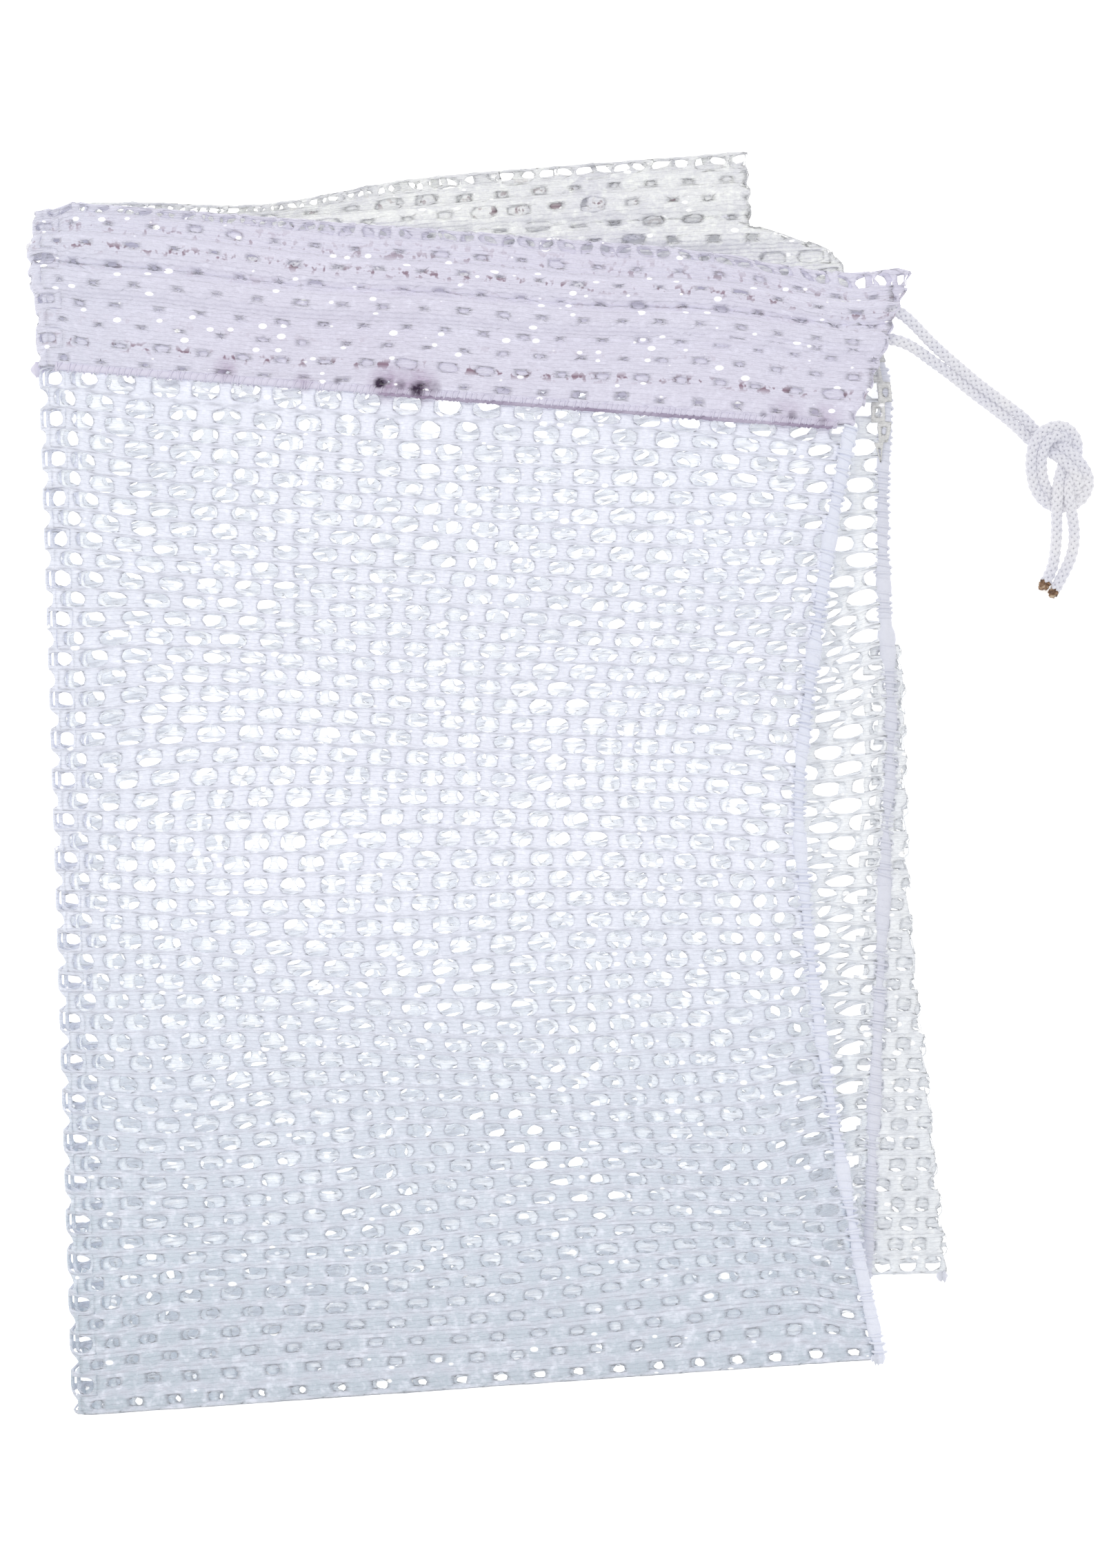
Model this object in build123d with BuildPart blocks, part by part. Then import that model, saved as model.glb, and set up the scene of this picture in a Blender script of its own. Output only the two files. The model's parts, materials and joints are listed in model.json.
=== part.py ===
"""Mesh laundry bag with a drawcord, lying flat and folded in half.

The bag is one strip of knitted net, folded at the bottom and sewn up both sides, with a hem turned over
at the mouth as a casing for the drawcord. It lies folded once more, about a line along +Y at the left:
the rear half is on the table and the front half lies on top of it, so there are four walls of net.
Millimetres. +X to the right, +Y along the left fold towards the mouth, +Z up from the table.
"""

import math
import os

from build123d import *

# ---------------------------------------------------------------- driving dimensions
NET = 0.5            # thickness of one ply of net
PLY_GAP = 0.25       # air between the two plies of a casing, and between one wall and the next
CORD = 2.6           # diameter of the braided drawcord
CORD_CLEAR = 0.3     # air over and under the cord inside its casing
BAND = 39.8          # depth of the casing, from hem seam to the top of the mouth
HEM_HALF = 1.1       # half the width of a hem seam
SEAM_HALF = 1.5      # half the width of an overlocked side seam

FOLD_X = -103.8      # the line that the front half is folded about
FOLD_CLEAR = 0.3     # from that line to the front half
FRONT_TILT = -6.1    # slope of the front casing, degrees
REAR_TILT = 2.55     # slope of the rear casing, degrees
HEM_Y = 105.6        # the hem seams' height at the fold
FRONT_END = 206.5    # length of the front casing, along its slope
FRONT_MOUTH = 203.2  # where the front tunnel ends and the cord comes out
REAR_END = 163.0     # length of the rear tunnel
LANE_OUTER = 29.1    # the outer wall's cord, measured across the casing from the hem
LANE_INNER = 22.1    # the inner wall's cord

FRONT_BOTTOM_Y = -152.4   # the front half's bottom fold, at the left fold
FRONT_BOTTOM_TILT = 2.4
REAR_BOTTOM_Y = -150.4    # the rear half's bottom fold
REAR_BOTTOM_TILT = 7.15

# centre lines of the side seams, from the hem down to the bottom fold
FRONT_SEAM = [
    (90.6, 83.7), (84.2, 49.5), (78.3, 13.6), (75.4, -9.0), (77.0, -33.5), (78.6, -57.2),
    (82.5, -88.4), (87.4, -122.6), (90.6, -143.2),
]
REAR_SEAM = [
    (96.6, 111.0), (100.0, 100.5), (101.4, 92.0), (99.7, 74.0), (98.9, 43.0), (100.2, 20.0),
    (99.5, 1.0), (97.6, -18.0), (94.8, -57.0), (92.5, -85.0), (90.3, -117.0), (89.8, -125.0),
]
# the net's raw edge outside the rear side seam, from its top to the bottom corner
RAW_EDGE = [
    (103.2, 25.4), (102.6, 2.6), (102.4, -25.1), (103.7, -54.4), (105.8, -74.7), (107.2, -105.2),
    (109.2, -120.3), (109.7, -126.2),
]
# the rear casing's right-hand corner, beyond the tunnel
REAR_CORNER = [(67.1, 153.1), (68.6, 134.3), (80.2, 131.7), (88.6, 128.6), (95.2, 116.6)]

# the drawcord's two free strands, from just outside the casing's mouth to the knot
STRAND_OUTER = [
    (108.3, 108.9, 8.9), (112.4, 104.4, 7.3), (118.3, 99.3, 5.5),
    (124.2, 94.3, 3.6), (130.4, 89.6, 2.9), (135.65, 85.52, 2.3),
]
STRAND_INNER = [
    (107.6, 103.9, 7.6), (112.0, 100.6, 6.2), (116.9, 97.25, 4.2),
    (122.7, 92.5, 2.2), (128.85, 87.8, 1.6), (133.85, 83.32, 1.9),
]
# the two tails, from the knot to the melted ends
TAIL_LEFT = [(142.4, 62.05, 2.4), (142.4, 57.2, 1.9), (141.8, 51.8, 1.6), (141.0, 48.2, 1.5), (139.3, 45.2, 1.5)]
TAIL_RIGHT = [(146.2, 62.05, 2.4), (146.9, 57.2, 1.9), (146.3, 52.2, 1.6), (144.3, 47.8, 1.5), (141.6, 43.2, 1.5)]
KNOT_OUTLINE = [
    (132.9, 81.9), (136.9, 86.8), (143.8, 87.2), (148.9, 83.6), (151.6, 76.0), (152.6, 67.6),
    (148.6, 62.3), (139.6, 62.3), (134.4, 70.0),
]
KNOT_BASE, KNOT_TOP = 0.2, 6.6

# ---------------------------------------------------------------- worked out from those
PLY = NET + PLY_GAP
RISE = CORD + 2 * CORD_CLEAR - PLY_GAP           # how far a ply lifts over a cord
REAR_OUTER_Z = 0.0
REAR_INNER_Z = 2 * PLY
FRONT_INNER_Z = 4 * PLY + RISE + 0.05
FRONT_OUTER_Z = FRONT_INNER_Z + 2 * PLY
WALL_PAIR = 2 * PLY + NET                        # the outer face of one wall to that of the next
TOP_Z = FRONT_OUTER_Z + 2 * NET + PLY_GAP + RISE
HINGE_Z = TOP_Z / 2
CORD_LIFT = NET + CORD_CLEAR + CORD / 2          # from a casing's underside to its cord's centre
LANE_TOP_HALF, LANE_FOOT_HALF = 1.7, 3.2         # half the width of a ply's ridge over a cord


class Band:
    """A casing's straight strip: a start on the fold line and a slope."""

    def __init__(self, tilt):
        self.u = Vector(math.cos(math.radians(tilt)), math.sin(math.radians(tilt)), 0)
        self.w = Vector(-self.u.Y, self.u.X, 0)
        self.tilt = tilt

    def at(self, along, across, z=0.0):
        point = Vector(FOLD_X, HEM_Y, 0) + self.u * along + self.w * across
        return (point.X, point.Y, z)

    def along_at_fold(self, across):
        """How far along the strip a line at this distance across it crosses the fold line."""
        return -self.w.X * across / self.u.X

    def edge_y(self, x, across):
        """The height, at x, of the line that runs along the strip."""
        return HEM_Y + (x - FOLD_X) * math.tan(math.radians(self.tilt)) + across / self.u.X


front_band = Band(FRONT_TILT)
rear_band = Band(REAR_TILT)
FRONT_LEFT = FOLD_X + FOLD_CLEAR


def ply_line(base, ridges):
    """One side of a ply across the casing, flat but for a ridge over each cord under it."""
    line = [(HEM_HALF, base)]
    for lane in sorted(ridges):
        line += [
            (lane - LANE_FOOT_HALF, base),
            (lane - LANE_TOP_HALF, base + RISE),
            (lane + LANE_TOP_HALF, base + RISE),
            (lane + LANE_FOOT_HALF, base),
        ]
    return line + [(BAND, base)]


def inner_ends(line):
    """The same line, stopping one ply short of the casing's two edges."""
    return [(HEM_HALF + NET, line[0][1])] + line[1:-1] + [(BAND - NET, line[-1][1])]


def casing_section(base, below, own):
    """Outline and tunnel of a casing whose own cord is at own, lying over the cords in below."""
    ridges = below + [own]
    outline = ply_line(base, below) + ply_line(base + PLY + NET, ridges)[::-1]
    tunnel = inner_ends(ply_line(base + NET, below)) + inner_ends(ply_line(base + PLY, ridges))[::-1]
    return outline, tunnel


def across_plane(band, along):
    """Local x across the casing, local y up, and the normal along it."""
    return Plane(origin=band.at(along, 0), x_dir=band.w, z_dir=band.u)


def bottom_y(start, tilt, x):
    return start + (x - FOLD_X) * math.tan(math.radians(tilt))


def shifted(line, dx):
    return [(x + dx, y) for x, y in line]


os.makedirs("parts", exist_ok=True)

# ---------------------------------------------------------------- walls of net


def seam_edge(seam, dx, band, start, tilt):
    """One edge of a side seam, cut off by the hem seam and by the bottom fold."""
    edge = shifted(seam, dx)
    top, bottom = edge[0][0], edge[-1][0]
    return [(top, band.edge_y(top, -HEM_HALF))] + edge[1:-1] + [(bottom, bottom_y(start, tilt, bottom))]


rear_seam_left = seam_edge(REAR_SEAM, -SEAM_HALF, rear_band, REAR_BOTTOM_Y, REAR_BOTTOM_TILT)
rear_seam_right = seam_edge(REAR_SEAM, SEAM_HALF, rear_band, REAR_BOTTOM_Y, REAR_BOTTOM_TILT)
front_seam_left = seam_edge(FRONT_SEAM, -SEAM_HALF, front_band, FRONT_BOTTOM_Y, FRONT_BOTTOM_TILT)
front_seam_right = seam_edge(FRONT_SEAM, SEAM_HALF, front_band, FRONT_BOTTOM_Y, FRONT_BOTTOM_TILT)

rear_wall = [
    (FOLD_X, rear_band.edge_y(FOLD_X, -HEM_HALF)), *rear_seam_left, (FOLD_X, REAR_BOTTOM_Y),
]
front_wall = [
    (FRONT_LEFT, front_band.edge_y(FRONT_LEFT, -HEM_HALF)), *front_seam_left,
    (FRONT_LEFT, bottom_y(FRONT_BOTTOM_Y, FRONT_BOTTOM_TILT, FRONT_LEFT)),
]

with BuildPart() as rear_outer_wall:
    with BuildSketch(Plane.XY.offset(REAR_OUTER_Z)):
        Polygon(*rear_wall, align=None)
    extrude(amount=NET)

with BuildPart() as rear_inner_wall:
    with BuildSketch(Plane.XY.offset(REAR_INNER_Z)):
        Polygon(*rear_wall, align=None)
    extrude(amount=NET)

with BuildPart() as front_inner_wall:
    with BuildSketch(Plane.XY.offset(FRONT_INNER_Z)):
        Polygon(*front_wall, align=None)
    extrude(amount=NET)

with BuildPart() as front_outer_wall:
    with BuildSketch(Plane.XY.offset(FRONT_OUTER_Z)):
        Polygon(*front_wall, align=None)
    extrude(amount=NET)

# ---------------------------------------------------------------- casings round the mouth
BEFORE_FOLD = 8.0   # each strip starts this far left of the fold line, and is cut off along it


def casing_tube(band, section, length):
    """Adds a casing's two plies, with the tunnel between them, to the part being built."""
    outline, tunnel = section
    with BuildSketch(across_plane(band, -BEFORE_FOLD)) as section_face:
        Polygon(*outline, align=None)
        Polygon(*tunnel, align=None, mode=Mode.SUBTRACT)
    extrude(section_face.sketch, amount=length + BEFORE_FOLD)


def trim_left(x):
    """Cuts away what lies left of x."""
    with BuildSketch(Plane.XY) as offcut:
        with Locations((x, HEM_Y)):
            Rectangle(4 * BEFORE_FOLD, 4 * BAND, align=(Align.MAX, Align.CENTER))
    extrude(offcut.sketch, amount=2 * TOP_Z, both=True, mode=Mode.SUBTRACT)


def trim_outline(outline):
    """Cuts the outline, seen from above, right through."""
    with BuildSketch(Plane.XY) as offcut:
        Polygon(*outline, align=None)
    extrude(offcut.sketch, amount=2 * TOP_Z, both=True, mode=Mode.SUBTRACT)


def plate(outline, base):
    """Adds one ply of net with this outline."""
    with BuildSketch(Plane.XY.offset(base)) as ply:
        Polygon(*outline, align=None)
    extrude(ply.sketch, amount=NET)


MOUTH_STEP = LANE_OUTER + 3.4   # the heading above the cords sticks out past the tunnel's end
front_cut = [
    front_band.at(along, across)[:2]
    for along, across in (
        (192.5, -1.0), (195.5, 7.9), (198.0, 15.3), (200.5, 18.0), (FRONT_MOUTH, 18.6),
        (FRONT_MOUTH, MOUTH_STEP), (FRONT_END + 5, MOUTH_STEP), (FRONT_END + 5, -1.0),
    )
]
CORNER_LAP = 1.0     # the corner's ply starts this far inside the tunnel's end
rear_corner = [rear_band.at(REAR_END - CORNER_LAP, across)[:2] for across in (HEM_HALF, BAND)] + REAR_CORNER

rear_outer_section = casing_section(REAR_OUTER_Z, [], LANE_OUTER)
rear_inner_section = casing_section(REAR_INNER_Z, [LANE_OUTER], LANE_INNER)
front_inner_section = casing_section(FRONT_INNER_Z, [], LANE_INNER)
front_outer_section = casing_section(FRONT_OUTER_Z, [LANE_INNER], LANE_OUTER)

with BuildPart() as rear_outer_casing:
    casing_tube(rear_band, rear_outer_section, REAR_END)
    trim_left(FOLD_X)
    plate(rear_corner, REAR_OUTER_Z)

with BuildPart() as rear_inner_casing:
    casing_tube(rear_band, rear_inner_section, REAR_END)
    trim_left(FOLD_X)
    plate(rear_corner, REAR_INNER_Z + PLY + RISE)

with BuildPart() as front_inner_casing:
    casing_tube(front_band, front_inner_section, FRONT_END)
    trim_left(FRONT_LEFT)
    trim_outline(front_cut)

with BuildPart() as front_outer_casing:
    casing_tube(front_band, front_outer_section, FRONT_END)
    trim_left(FRONT_LEFT)
    trim_outline(front_cut)

# ---------------------------------------------------------------- hem seams, side seams and raw edge


def hem_strip(band, left, length):
    """The hem seam's outline, from left to length along the casing."""
    x_end = band.at(length, 0)[0]
    return [
        (left, band.edge_y(left, -HEM_HALF)),
        (x_end, band.edge_y(x_end, -HEM_HALF)),
        (x_end, band.edge_y(x_end, HEM_HALF)),
        (left, band.edge_y(left, HEM_HALF)),
    ]


HEM_THICK = PLY + NET
FRONT_HEM_LENGTH = 192.0
REAR_HEM_LENGTH = 199.0
front_hem = hem_strip(front_band, FRONT_LEFT, FRONT_HEM_LENGTH)
rear_hem = hem_strip(rear_band, FOLD_X, REAR_HEM_LENGTH)

with BuildPart() as rear_outer_hem_seam:
    with BuildSketch(Plane.XY.offset(REAR_OUTER_Z)):
        Polygon(*rear_hem, align=None)
    extrude(amount=HEM_THICK)

with BuildPart() as rear_inner_hem_seam:
    with BuildSketch(Plane.XY.offset(REAR_INNER_Z)):
        Polygon(*rear_hem, align=None)
    extrude(amount=HEM_THICK)

with BuildPart() as front_inner_hem_seam:
    with BuildSketch(Plane.XY.offset(FRONT_INNER_Z)):
        Polygon(*front_hem, align=None)
    extrude(amount=HEM_THICK)

with BuildPart() as front_outer_hem_seam:
    with BuildSketch(Plane.XY.offset(FRONT_OUTER_Z)):
        Polygon(*front_hem, align=None)
    extrude(amount=HEM_THICK)

with BuildPart() as rear_side_seam:
    with BuildSketch(Plane.XY.offset(REAR_OUTER_Z)):
        Polygon(*rear_seam_right, *rear_seam_left[::-1], align=None)
    extrude(amount=WALL_PAIR)

with BuildPart() as front_side_seam:
    with BuildSketch(Plane.XY.offset(FRONT_INNER_Z)):
        Polygon(*front_seam_right, *front_seam_left[::-1], align=None)
    extrude(amount=WALL_PAIR)

RAW_TOP = 5          # the raw edge starts beside this point of the rear seam
raw_outline = RAW_EDGE + rear_seam_right[RAW_TOP:][::-1]

with BuildPart() as rear_raw_edge:
    plate(raw_outline, REAR_OUTER_Z)
    plate(raw_outline, REAR_INNER_Z)

# ---------------------------------------------------------------- folds in the net


def half_ring(outer):
    """Half a ring of one ply, on the side of the sketch's local +x."""
    Circle(outer)
    Circle(outer - NET, mode=Mode.SUBTRACT)
    Rectangle(2 * outer, 4 * outer, align=(Align.MAX, Align.CENTER), mode=Mode.SUBTRACT)


def bottom_plane(x, start, tilt, middle):
    """Normal along the bottom fold, local x outwards, at the height between the two walls."""
    slope = math.radians(tilt)
    along, outward = Vector(math.cos(slope), math.sin(slope), 0), Vector(math.sin(slope), -math.cos(slope), 0)
    return Plane(origin=(x, bottom_y(start, tilt, x), middle), x_dir=outward, z_dir=along)


BOTTOM_START = 0.3    # the fold's end face leans, so it starts this far inside the wall's corner

with BuildPart() as rear_bottom_fold:
    x0, x1 = FOLD_X + BOTTOM_START, rear_seam_left[-1][0]
    with BuildSketch(bottom_plane(x0, REAR_BOTTOM_Y, REAR_BOTTOM_TILT, REAR_OUTER_Z + WALL_PAIR / 2)):
        half_ring(WALL_PAIR / 2)
    extrude(amount=(x1 - x0) / math.cos(math.radians(REAR_BOTTOM_TILT)))

with BuildPart() as front_bottom_fold:
    x0, x1 = FRONT_LEFT + BOTTOM_START, front_seam_left[-1][0]
    with BuildSketch(bottom_plane(x0, FRONT_BOTTOM_Y, FRONT_BOTTOM_TILT, FRONT_INNER_Z + WALL_PAIR / 2)):
        half_ring(WALL_PAIR / 2)
    extrude(amount=(x1 - x0) / math.cos(math.radians(FRONT_BOTTOM_TILT)))


def side_fold(low, high, y_from, y_to):
    """The net's turn round the left fold, from the wall at low to the wall whose top is at high."""
    middle, outer = (low + high) / 2, (high - low) / 2
    with BuildSketch(Plane(origin=(FOLD_X, y_from, middle), x_dir=(-1, 0, 0), z_dir=(0, 1, 0))) as turn:
        half_ring(outer)
    extrude(turn.sketch, amount=y_to - y_from)


FOLD_BOTTOM = max(FRONT_BOTTOM_Y, REAR_BOTTOM_Y) + 0.2
FOLD_TOP = HEM_Y - HEM_HALF - 0.2

with BuildPart() as outer_side_fold:
    side_fold(REAR_OUTER_Z, FRONT_OUTER_Z + NET, FOLD_BOTTOM, FOLD_TOP)

with BuildPart() as inner_side_fold:
    side_fold(REAR_INNER_Z, FRONT_INNER_Z + NET, FOLD_BOTTOM, FOLD_TOP)

# round the fold the casing is cut open where a cord turns, so that the cord is clear of it
CORD_WINDOW = CORD / 2 + CORD_CLEAR
window_outer = rear_band.at(0, LANE_OUTER)[1]
window_inner = rear_band.at(0, LANE_INNER)[1]
CASING_FOLD_STRETCHES = [
    (HEM_Y + HEM_HALF, window_inner - CORD_WINDOW - 0.3),
    (window_inner + CORD_WINDOW + 0.3, window_outer - CORD_WINDOW - 0.3),
    (window_outer + CORD_WINDOW + 0.3, HEM_Y + BAND - 0.5),
]

with BuildPart() as outer_casing_fold:
    for y_from, y_to in CASING_FOLD_STRETCHES:
        side_fold(REAR_OUTER_Z, FRONT_OUTER_Z + PLY + NET, y_from, y_to)
        side_fold(REAR_OUTER_Z + PLY, FRONT_OUTER_Z + NET, y_from, y_to)

with BuildPart() as inner_casing_fold:
    for y_from, y_to in CASING_FOLD_STRETCHES:
        side_fold(REAR_INNER_Z, FRONT_INNER_Z + PLY + NET, y_from, y_to)
        side_fold(REAR_INNER_Z + PLY, FRONT_INNER_Z + NET, y_from, y_to)

# ---------------------------------------------------------------- drawcord inside the casings


def straight_cord(band, across, height, start, end):
    """Adds a straight length of cord along a casing."""
    with BuildSketch(Plane(origin=band.at(start, across, height), x_dir=band.w, z_dir=band.u)) as cut:
        Circle(CORD / 2)
    extrude(cut.sketch, amount=end - start)


REAR_OUTER_CORD_Z = REAR_OUTER_Z + CORD_LIFT
REAR_INNER_CORD_Z = REAR_INNER_Z + CORD_LIFT
FRONT_INNER_CORD_Z = FRONT_INNER_Z + CORD_LIFT
FRONT_OUTER_CORD_Z = FRONT_OUTER_Z + CORD_LIFT
rear_outer_start = rear_band.along_at_fold(LANE_OUTER)
rear_inner_start = rear_band.along_at_fold(LANE_INNER)
CORD_GAP = 0.4       # the front cords slide, so they start this far from the turn round the fold
front_outer_start = front_band.along_at_fold(LANE_OUTER) + CORD_GAP
front_inner_start = front_band.along_at_fold(LANE_INNER) + CORD_GAP
FRONT_CORD_END = FRONT_MOUTH + 0.3

with BuildPart() as cord_in_rear_outer_casing:
    straight_cord(rear_band, LANE_OUTER, REAR_OUTER_CORD_Z, rear_outer_start, REAR_END)

with BuildPart() as cord_in_rear_inner_casing:
    straight_cord(rear_band, LANE_INNER, REAR_INNER_CORD_Z, rear_inner_start, REAR_END)

with BuildPart() as cord_in_front_inner_casing:
    straight_cord(front_band, LANE_INNER, FRONT_INNER_CORD_Z, front_inner_start, FRONT_CORD_END)

with BuildPart() as cord_in_front_outer_casing:
    straight_cord(front_band, LANE_OUTER, FRONT_OUTER_CORD_Z, front_outer_start, FRONT_CORD_END)


def tube(points, radii):
    """Adds a round cord along straight runs joined by arcs, and gives back its length."""
    with BuildLine() as centre:
        FilletPolyline(*points, radius=radii)
    with BuildSketch(Plane(origin=centre.line @ 0, z_dir=centre.line % 0)) as cut:
        Circle(CORD / 2)
    sweep(cut.sketch, path=centre.line)
    return sum(edge.length for edge in centre.edges())


half_lanes = (LANE_OUTER - LANE_INNER) / 2
end_turn = [
    rear_band.at(REAR_END, LANE_OUTER, REAR_OUTER_CORD_Z),
    rear_band.at(REAR_END + half_lanes + 0.1, LANE_OUTER, REAR_OUTER_CORD_Z),
    rear_band.at(REAR_END + half_lanes + 0.1, LANE_INNER, REAR_INNER_CORD_Z),
    rear_band.at(REAR_END, LANE_INNER, REAR_INNER_CORD_Z),
]


def fold_turn(across, rear_start, rear_z, front_start, front_z):
    """The cord's route round the left fold, from the rear casing up to the front one."""
    reach = (front_z - rear_z) / 2 + 0.05
    return [
        rear_band.at(rear_start, across, rear_z),
        rear_band.at(rear_start - reach, across, rear_z),
        front_band.at(front_start - CORD_GAP - reach, across, front_z),
        front_band.at(front_start - CORD_GAP, across, front_z),
    ]


outer_turn = fold_turn(
    LANE_OUTER, rear_outer_start, REAR_OUTER_CORD_Z, front_outer_start, FRONT_OUTER_CORD_Z
)
inner_turn = fold_turn(
    LANE_INNER, rear_inner_start, REAR_INNER_CORD_Z, front_inner_start, FRONT_INNER_CORD_Z
)
END_TURN_RADIUS = half_lanes - 0.05
OUTER_TURN_RADIUS = (FRONT_OUTER_CORD_Z - REAR_OUTER_CORD_Z) / 2 - 0.05
INNER_TURN_RADIUS = (FRONT_INNER_CORD_Z - REAR_INNER_CORD_Z) / 2 - 0.05

with BuildPart() as cord_turn_at_rear_seam:
    tube(end_turn, [END_TURN_RADIUS] * 2)

with BuildPart() as cord_turn_at_outer_fold:
    tube(outer_turn, [OUTER_TURN_RADIUS] * 2)

with BuildPart() as cord_turn_at_inner_fold:
    tube(inner_turn, [INNER_TURN_RADIUS] * 2)

# ---------------------------------------------------------------- drawcord outside: strands, knot, tails


def largest_radii(points):
    """The largest arc that each corner has room for: 0.45 of its shorter run."""
    radii = []
    for a, b, c in zip(points, points[1:], points[2:]):
        before, after = Vector(*b) - Vector(*a), Vector(*c) - Vector(*b)
        half_turn = math.radians(before.get_angle(after)) / 2
        radii.append(round(0.45 * min(before.length, after.length) / math.tan(half_turn), 2))
    return radii


STRAIGHT_OUT = 2.6   # each strand comes straight out of its tunnel for one diameter
strand_outer_route = [
    front_band.at(along, LANE_OUTER, FRONT_OUTER_CORD_Z)
    for along in (FRONT_CORD_END, FRONT_CORD_END + STRAIGHT_OUT)
] + STRAND_OUTER
strand_inner_route = [
    front_band.at(along, LANE_INNER, FRONT_INNER_CORD_Z)
    for along in (FRONT_CORD_END, FRONT_CORD_END + STRAIGHT_OUT)
] + STRAND_INNER

with BuildPart() as cord_strand_outer:
    strand_outer_length = tube(strand_outer_route, largest_radii(strand_outer_route))

with BuildPart() as cord_strand_inner:
    strand_inner_length = tube(strand_inner_route, largest_radii(strand_inner_route))

with BuildPart() as cord_tail_left:
    tail_left_length = tube(TAIL_LEFT, largest_radii(TAIL_LEFT))

with BuildPart() as cord_tail_right:
    tail_right_length = tube(TAIL_RIGHT, largest_radii(TAIL_RIGHT))

KNOT_CORNER, KNOT_EDGE = 2.0, 1.6

with BuildPart() as cord_knot:
    with BuildSketch(Plane.XY.offset(KNOT_BASE)):
        Polygon(*KNOT_OUTLINE, align=None)
    extrude(amount=KNOT_TOP - KNOT_BASE)
    fillet(cord_knot.edges().filter_by(Axis.Z), KNOT_CORNER)
    fillet(cord_knot.faces().filter_by(Axis.Z).edges(), KNOT_EDGE)

TIP_LENGTH, TIP_ROUND = 2.4, 1.0


def melted_bead(tip, route):
    """Adds the short rounded bead of melted braid that ends a tail."""
    end, before = Vector(*route[-1]), Vector(*route[-2])
    along = (end - before).normalized()
    with BuildSketch(Plane(origin=end, z_dir=along)) as cut:
        Circle(CORD / 2)
    extrude(cut.sketch, amount=TIP_LENGTH)
    fillet(tip.edges().sort_by(Axis(end, along))[-1], TIP_ROUND)


with BuildPart() as cord_tip_left:
    melted_bead(cord_tip_left, TAIL_LEFT)

with BuildPart() as cord_tip_right:
    melted_bead(cord_tip_right, TAIL_RIGHT)

# ---------------------------------------------------------------- one file for each sub-part
subparts = {
    "rear_outer_wall": rear_outer_wall,
    "rear_inner_wall": rear_inner_wall,
    "rear_outer_casing": rear_outer_casing,
    "rear_inner_casing": rear_inner_casing,
    "rear_outer_hem_seam": rear_outer_hem_seam,
    "rear_inner_hem_seam": rear_inner_hem_seam,
    "rear_side_seam": rear_side_seam,
    "rear_raw_edge": rear_raw_edge,
    "rear_bottom_fold": rear_bottom_fold,
    "front_outer_wall": front_outer_wall,
    "front_inner_wall": front_inner_wall,
    "front_outer_casing": front_outer_casing,
    "front_inner_casing": front_inner_casing,
    "front_outer_hem_seam": front_outer_hem_seam,
    "front_inner_hem_seam": front_inner_hem_seam,
    "front_side_seam": front_side_seam,
    "front_bottom_fold": front_bottom_fold,
    "outer_side_fold": outer_side_fold,
    "inner_side_fold": inner_side_fold,
    "outer_casing_fold": outer_casing_fold,
    "inner_casing_fold": inner_casing_fold,
    "cord_in_rear_outer_casing": cord_in_rear_outer_casing,
    "cord_in_rear_inner_casing": cord_in_rear_inner_casing,
    "cord_turn_at_rear_seam": cord_turn_at_rear_seam,
    "cord_turn_at_outer_fold": cord_turn_at_outer_fold,
    "cord_turn_at_inner_fold": cord_turn_at_inner_fold,
    "cord_in_front_outer_casing": cord_in_front_outer_casing,
    "cord_in_front_inner_casing": cord_in_front_inner_casing,
    "cord_strand_outer": cord_strand_outer,
    "cord_strand_inner": cord_strand_inner,
    "cord_knot": cord_knot,
    "cord_tail_left": cord_tail_left,
    "cord_tail_right": cord_tail_right,
    "cord_tip_left": cord_tip_left,
    "cord_tip_right": cord_tip_right,
}
for label, piece in subparts.items():
    piece.part.label = label
    export_step(piece.part, f"parts/{label}.step")

for label, route, length, piece in (
    ("cord_strand_outer", strand_outer_route, strand_outer_length, cord_strand_outer),
    ("cord_strand_inner", strand_inner_route, strand_inner_length, cord_strand_inner),
    ("cord_tail_left", TAIL_LEFT, tail_left_length, cord_tail_left),
    ("cord_tail_right", TAIL_RIGHT, tail_right_length, cord_tail_right),
):
    share = piece.part.volume / (math.pi * CORD**2 / 4 * length)
    print(f"{label}: length {length:.1f}, radii {largest_radii(route)}, volume share {share:.4f}")
print(f"hinge at x {FOLD_X}, z {HINGE_Z:.3f}; slide along {tuple(round(c, 5) for c in front_band.u)}")
for label, route in (("outer", strand_outer_route), ("inner", strand_inner_route)):
    print(label, "strand leaves at", [tuple(round(c, 2) for c in point) for point in route[:2]])
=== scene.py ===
"""Looks for the folded mesh laundry bag: knitted net with real meshes, casings, seams and a braided drawcord.

Everything is in metres in the CAD frame: +X right from the left fold, +Y towards the mouth, +Z up.
Inside the script lengths are in millimetres, and MM turns them into metres.
"""

import json
import math

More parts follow.
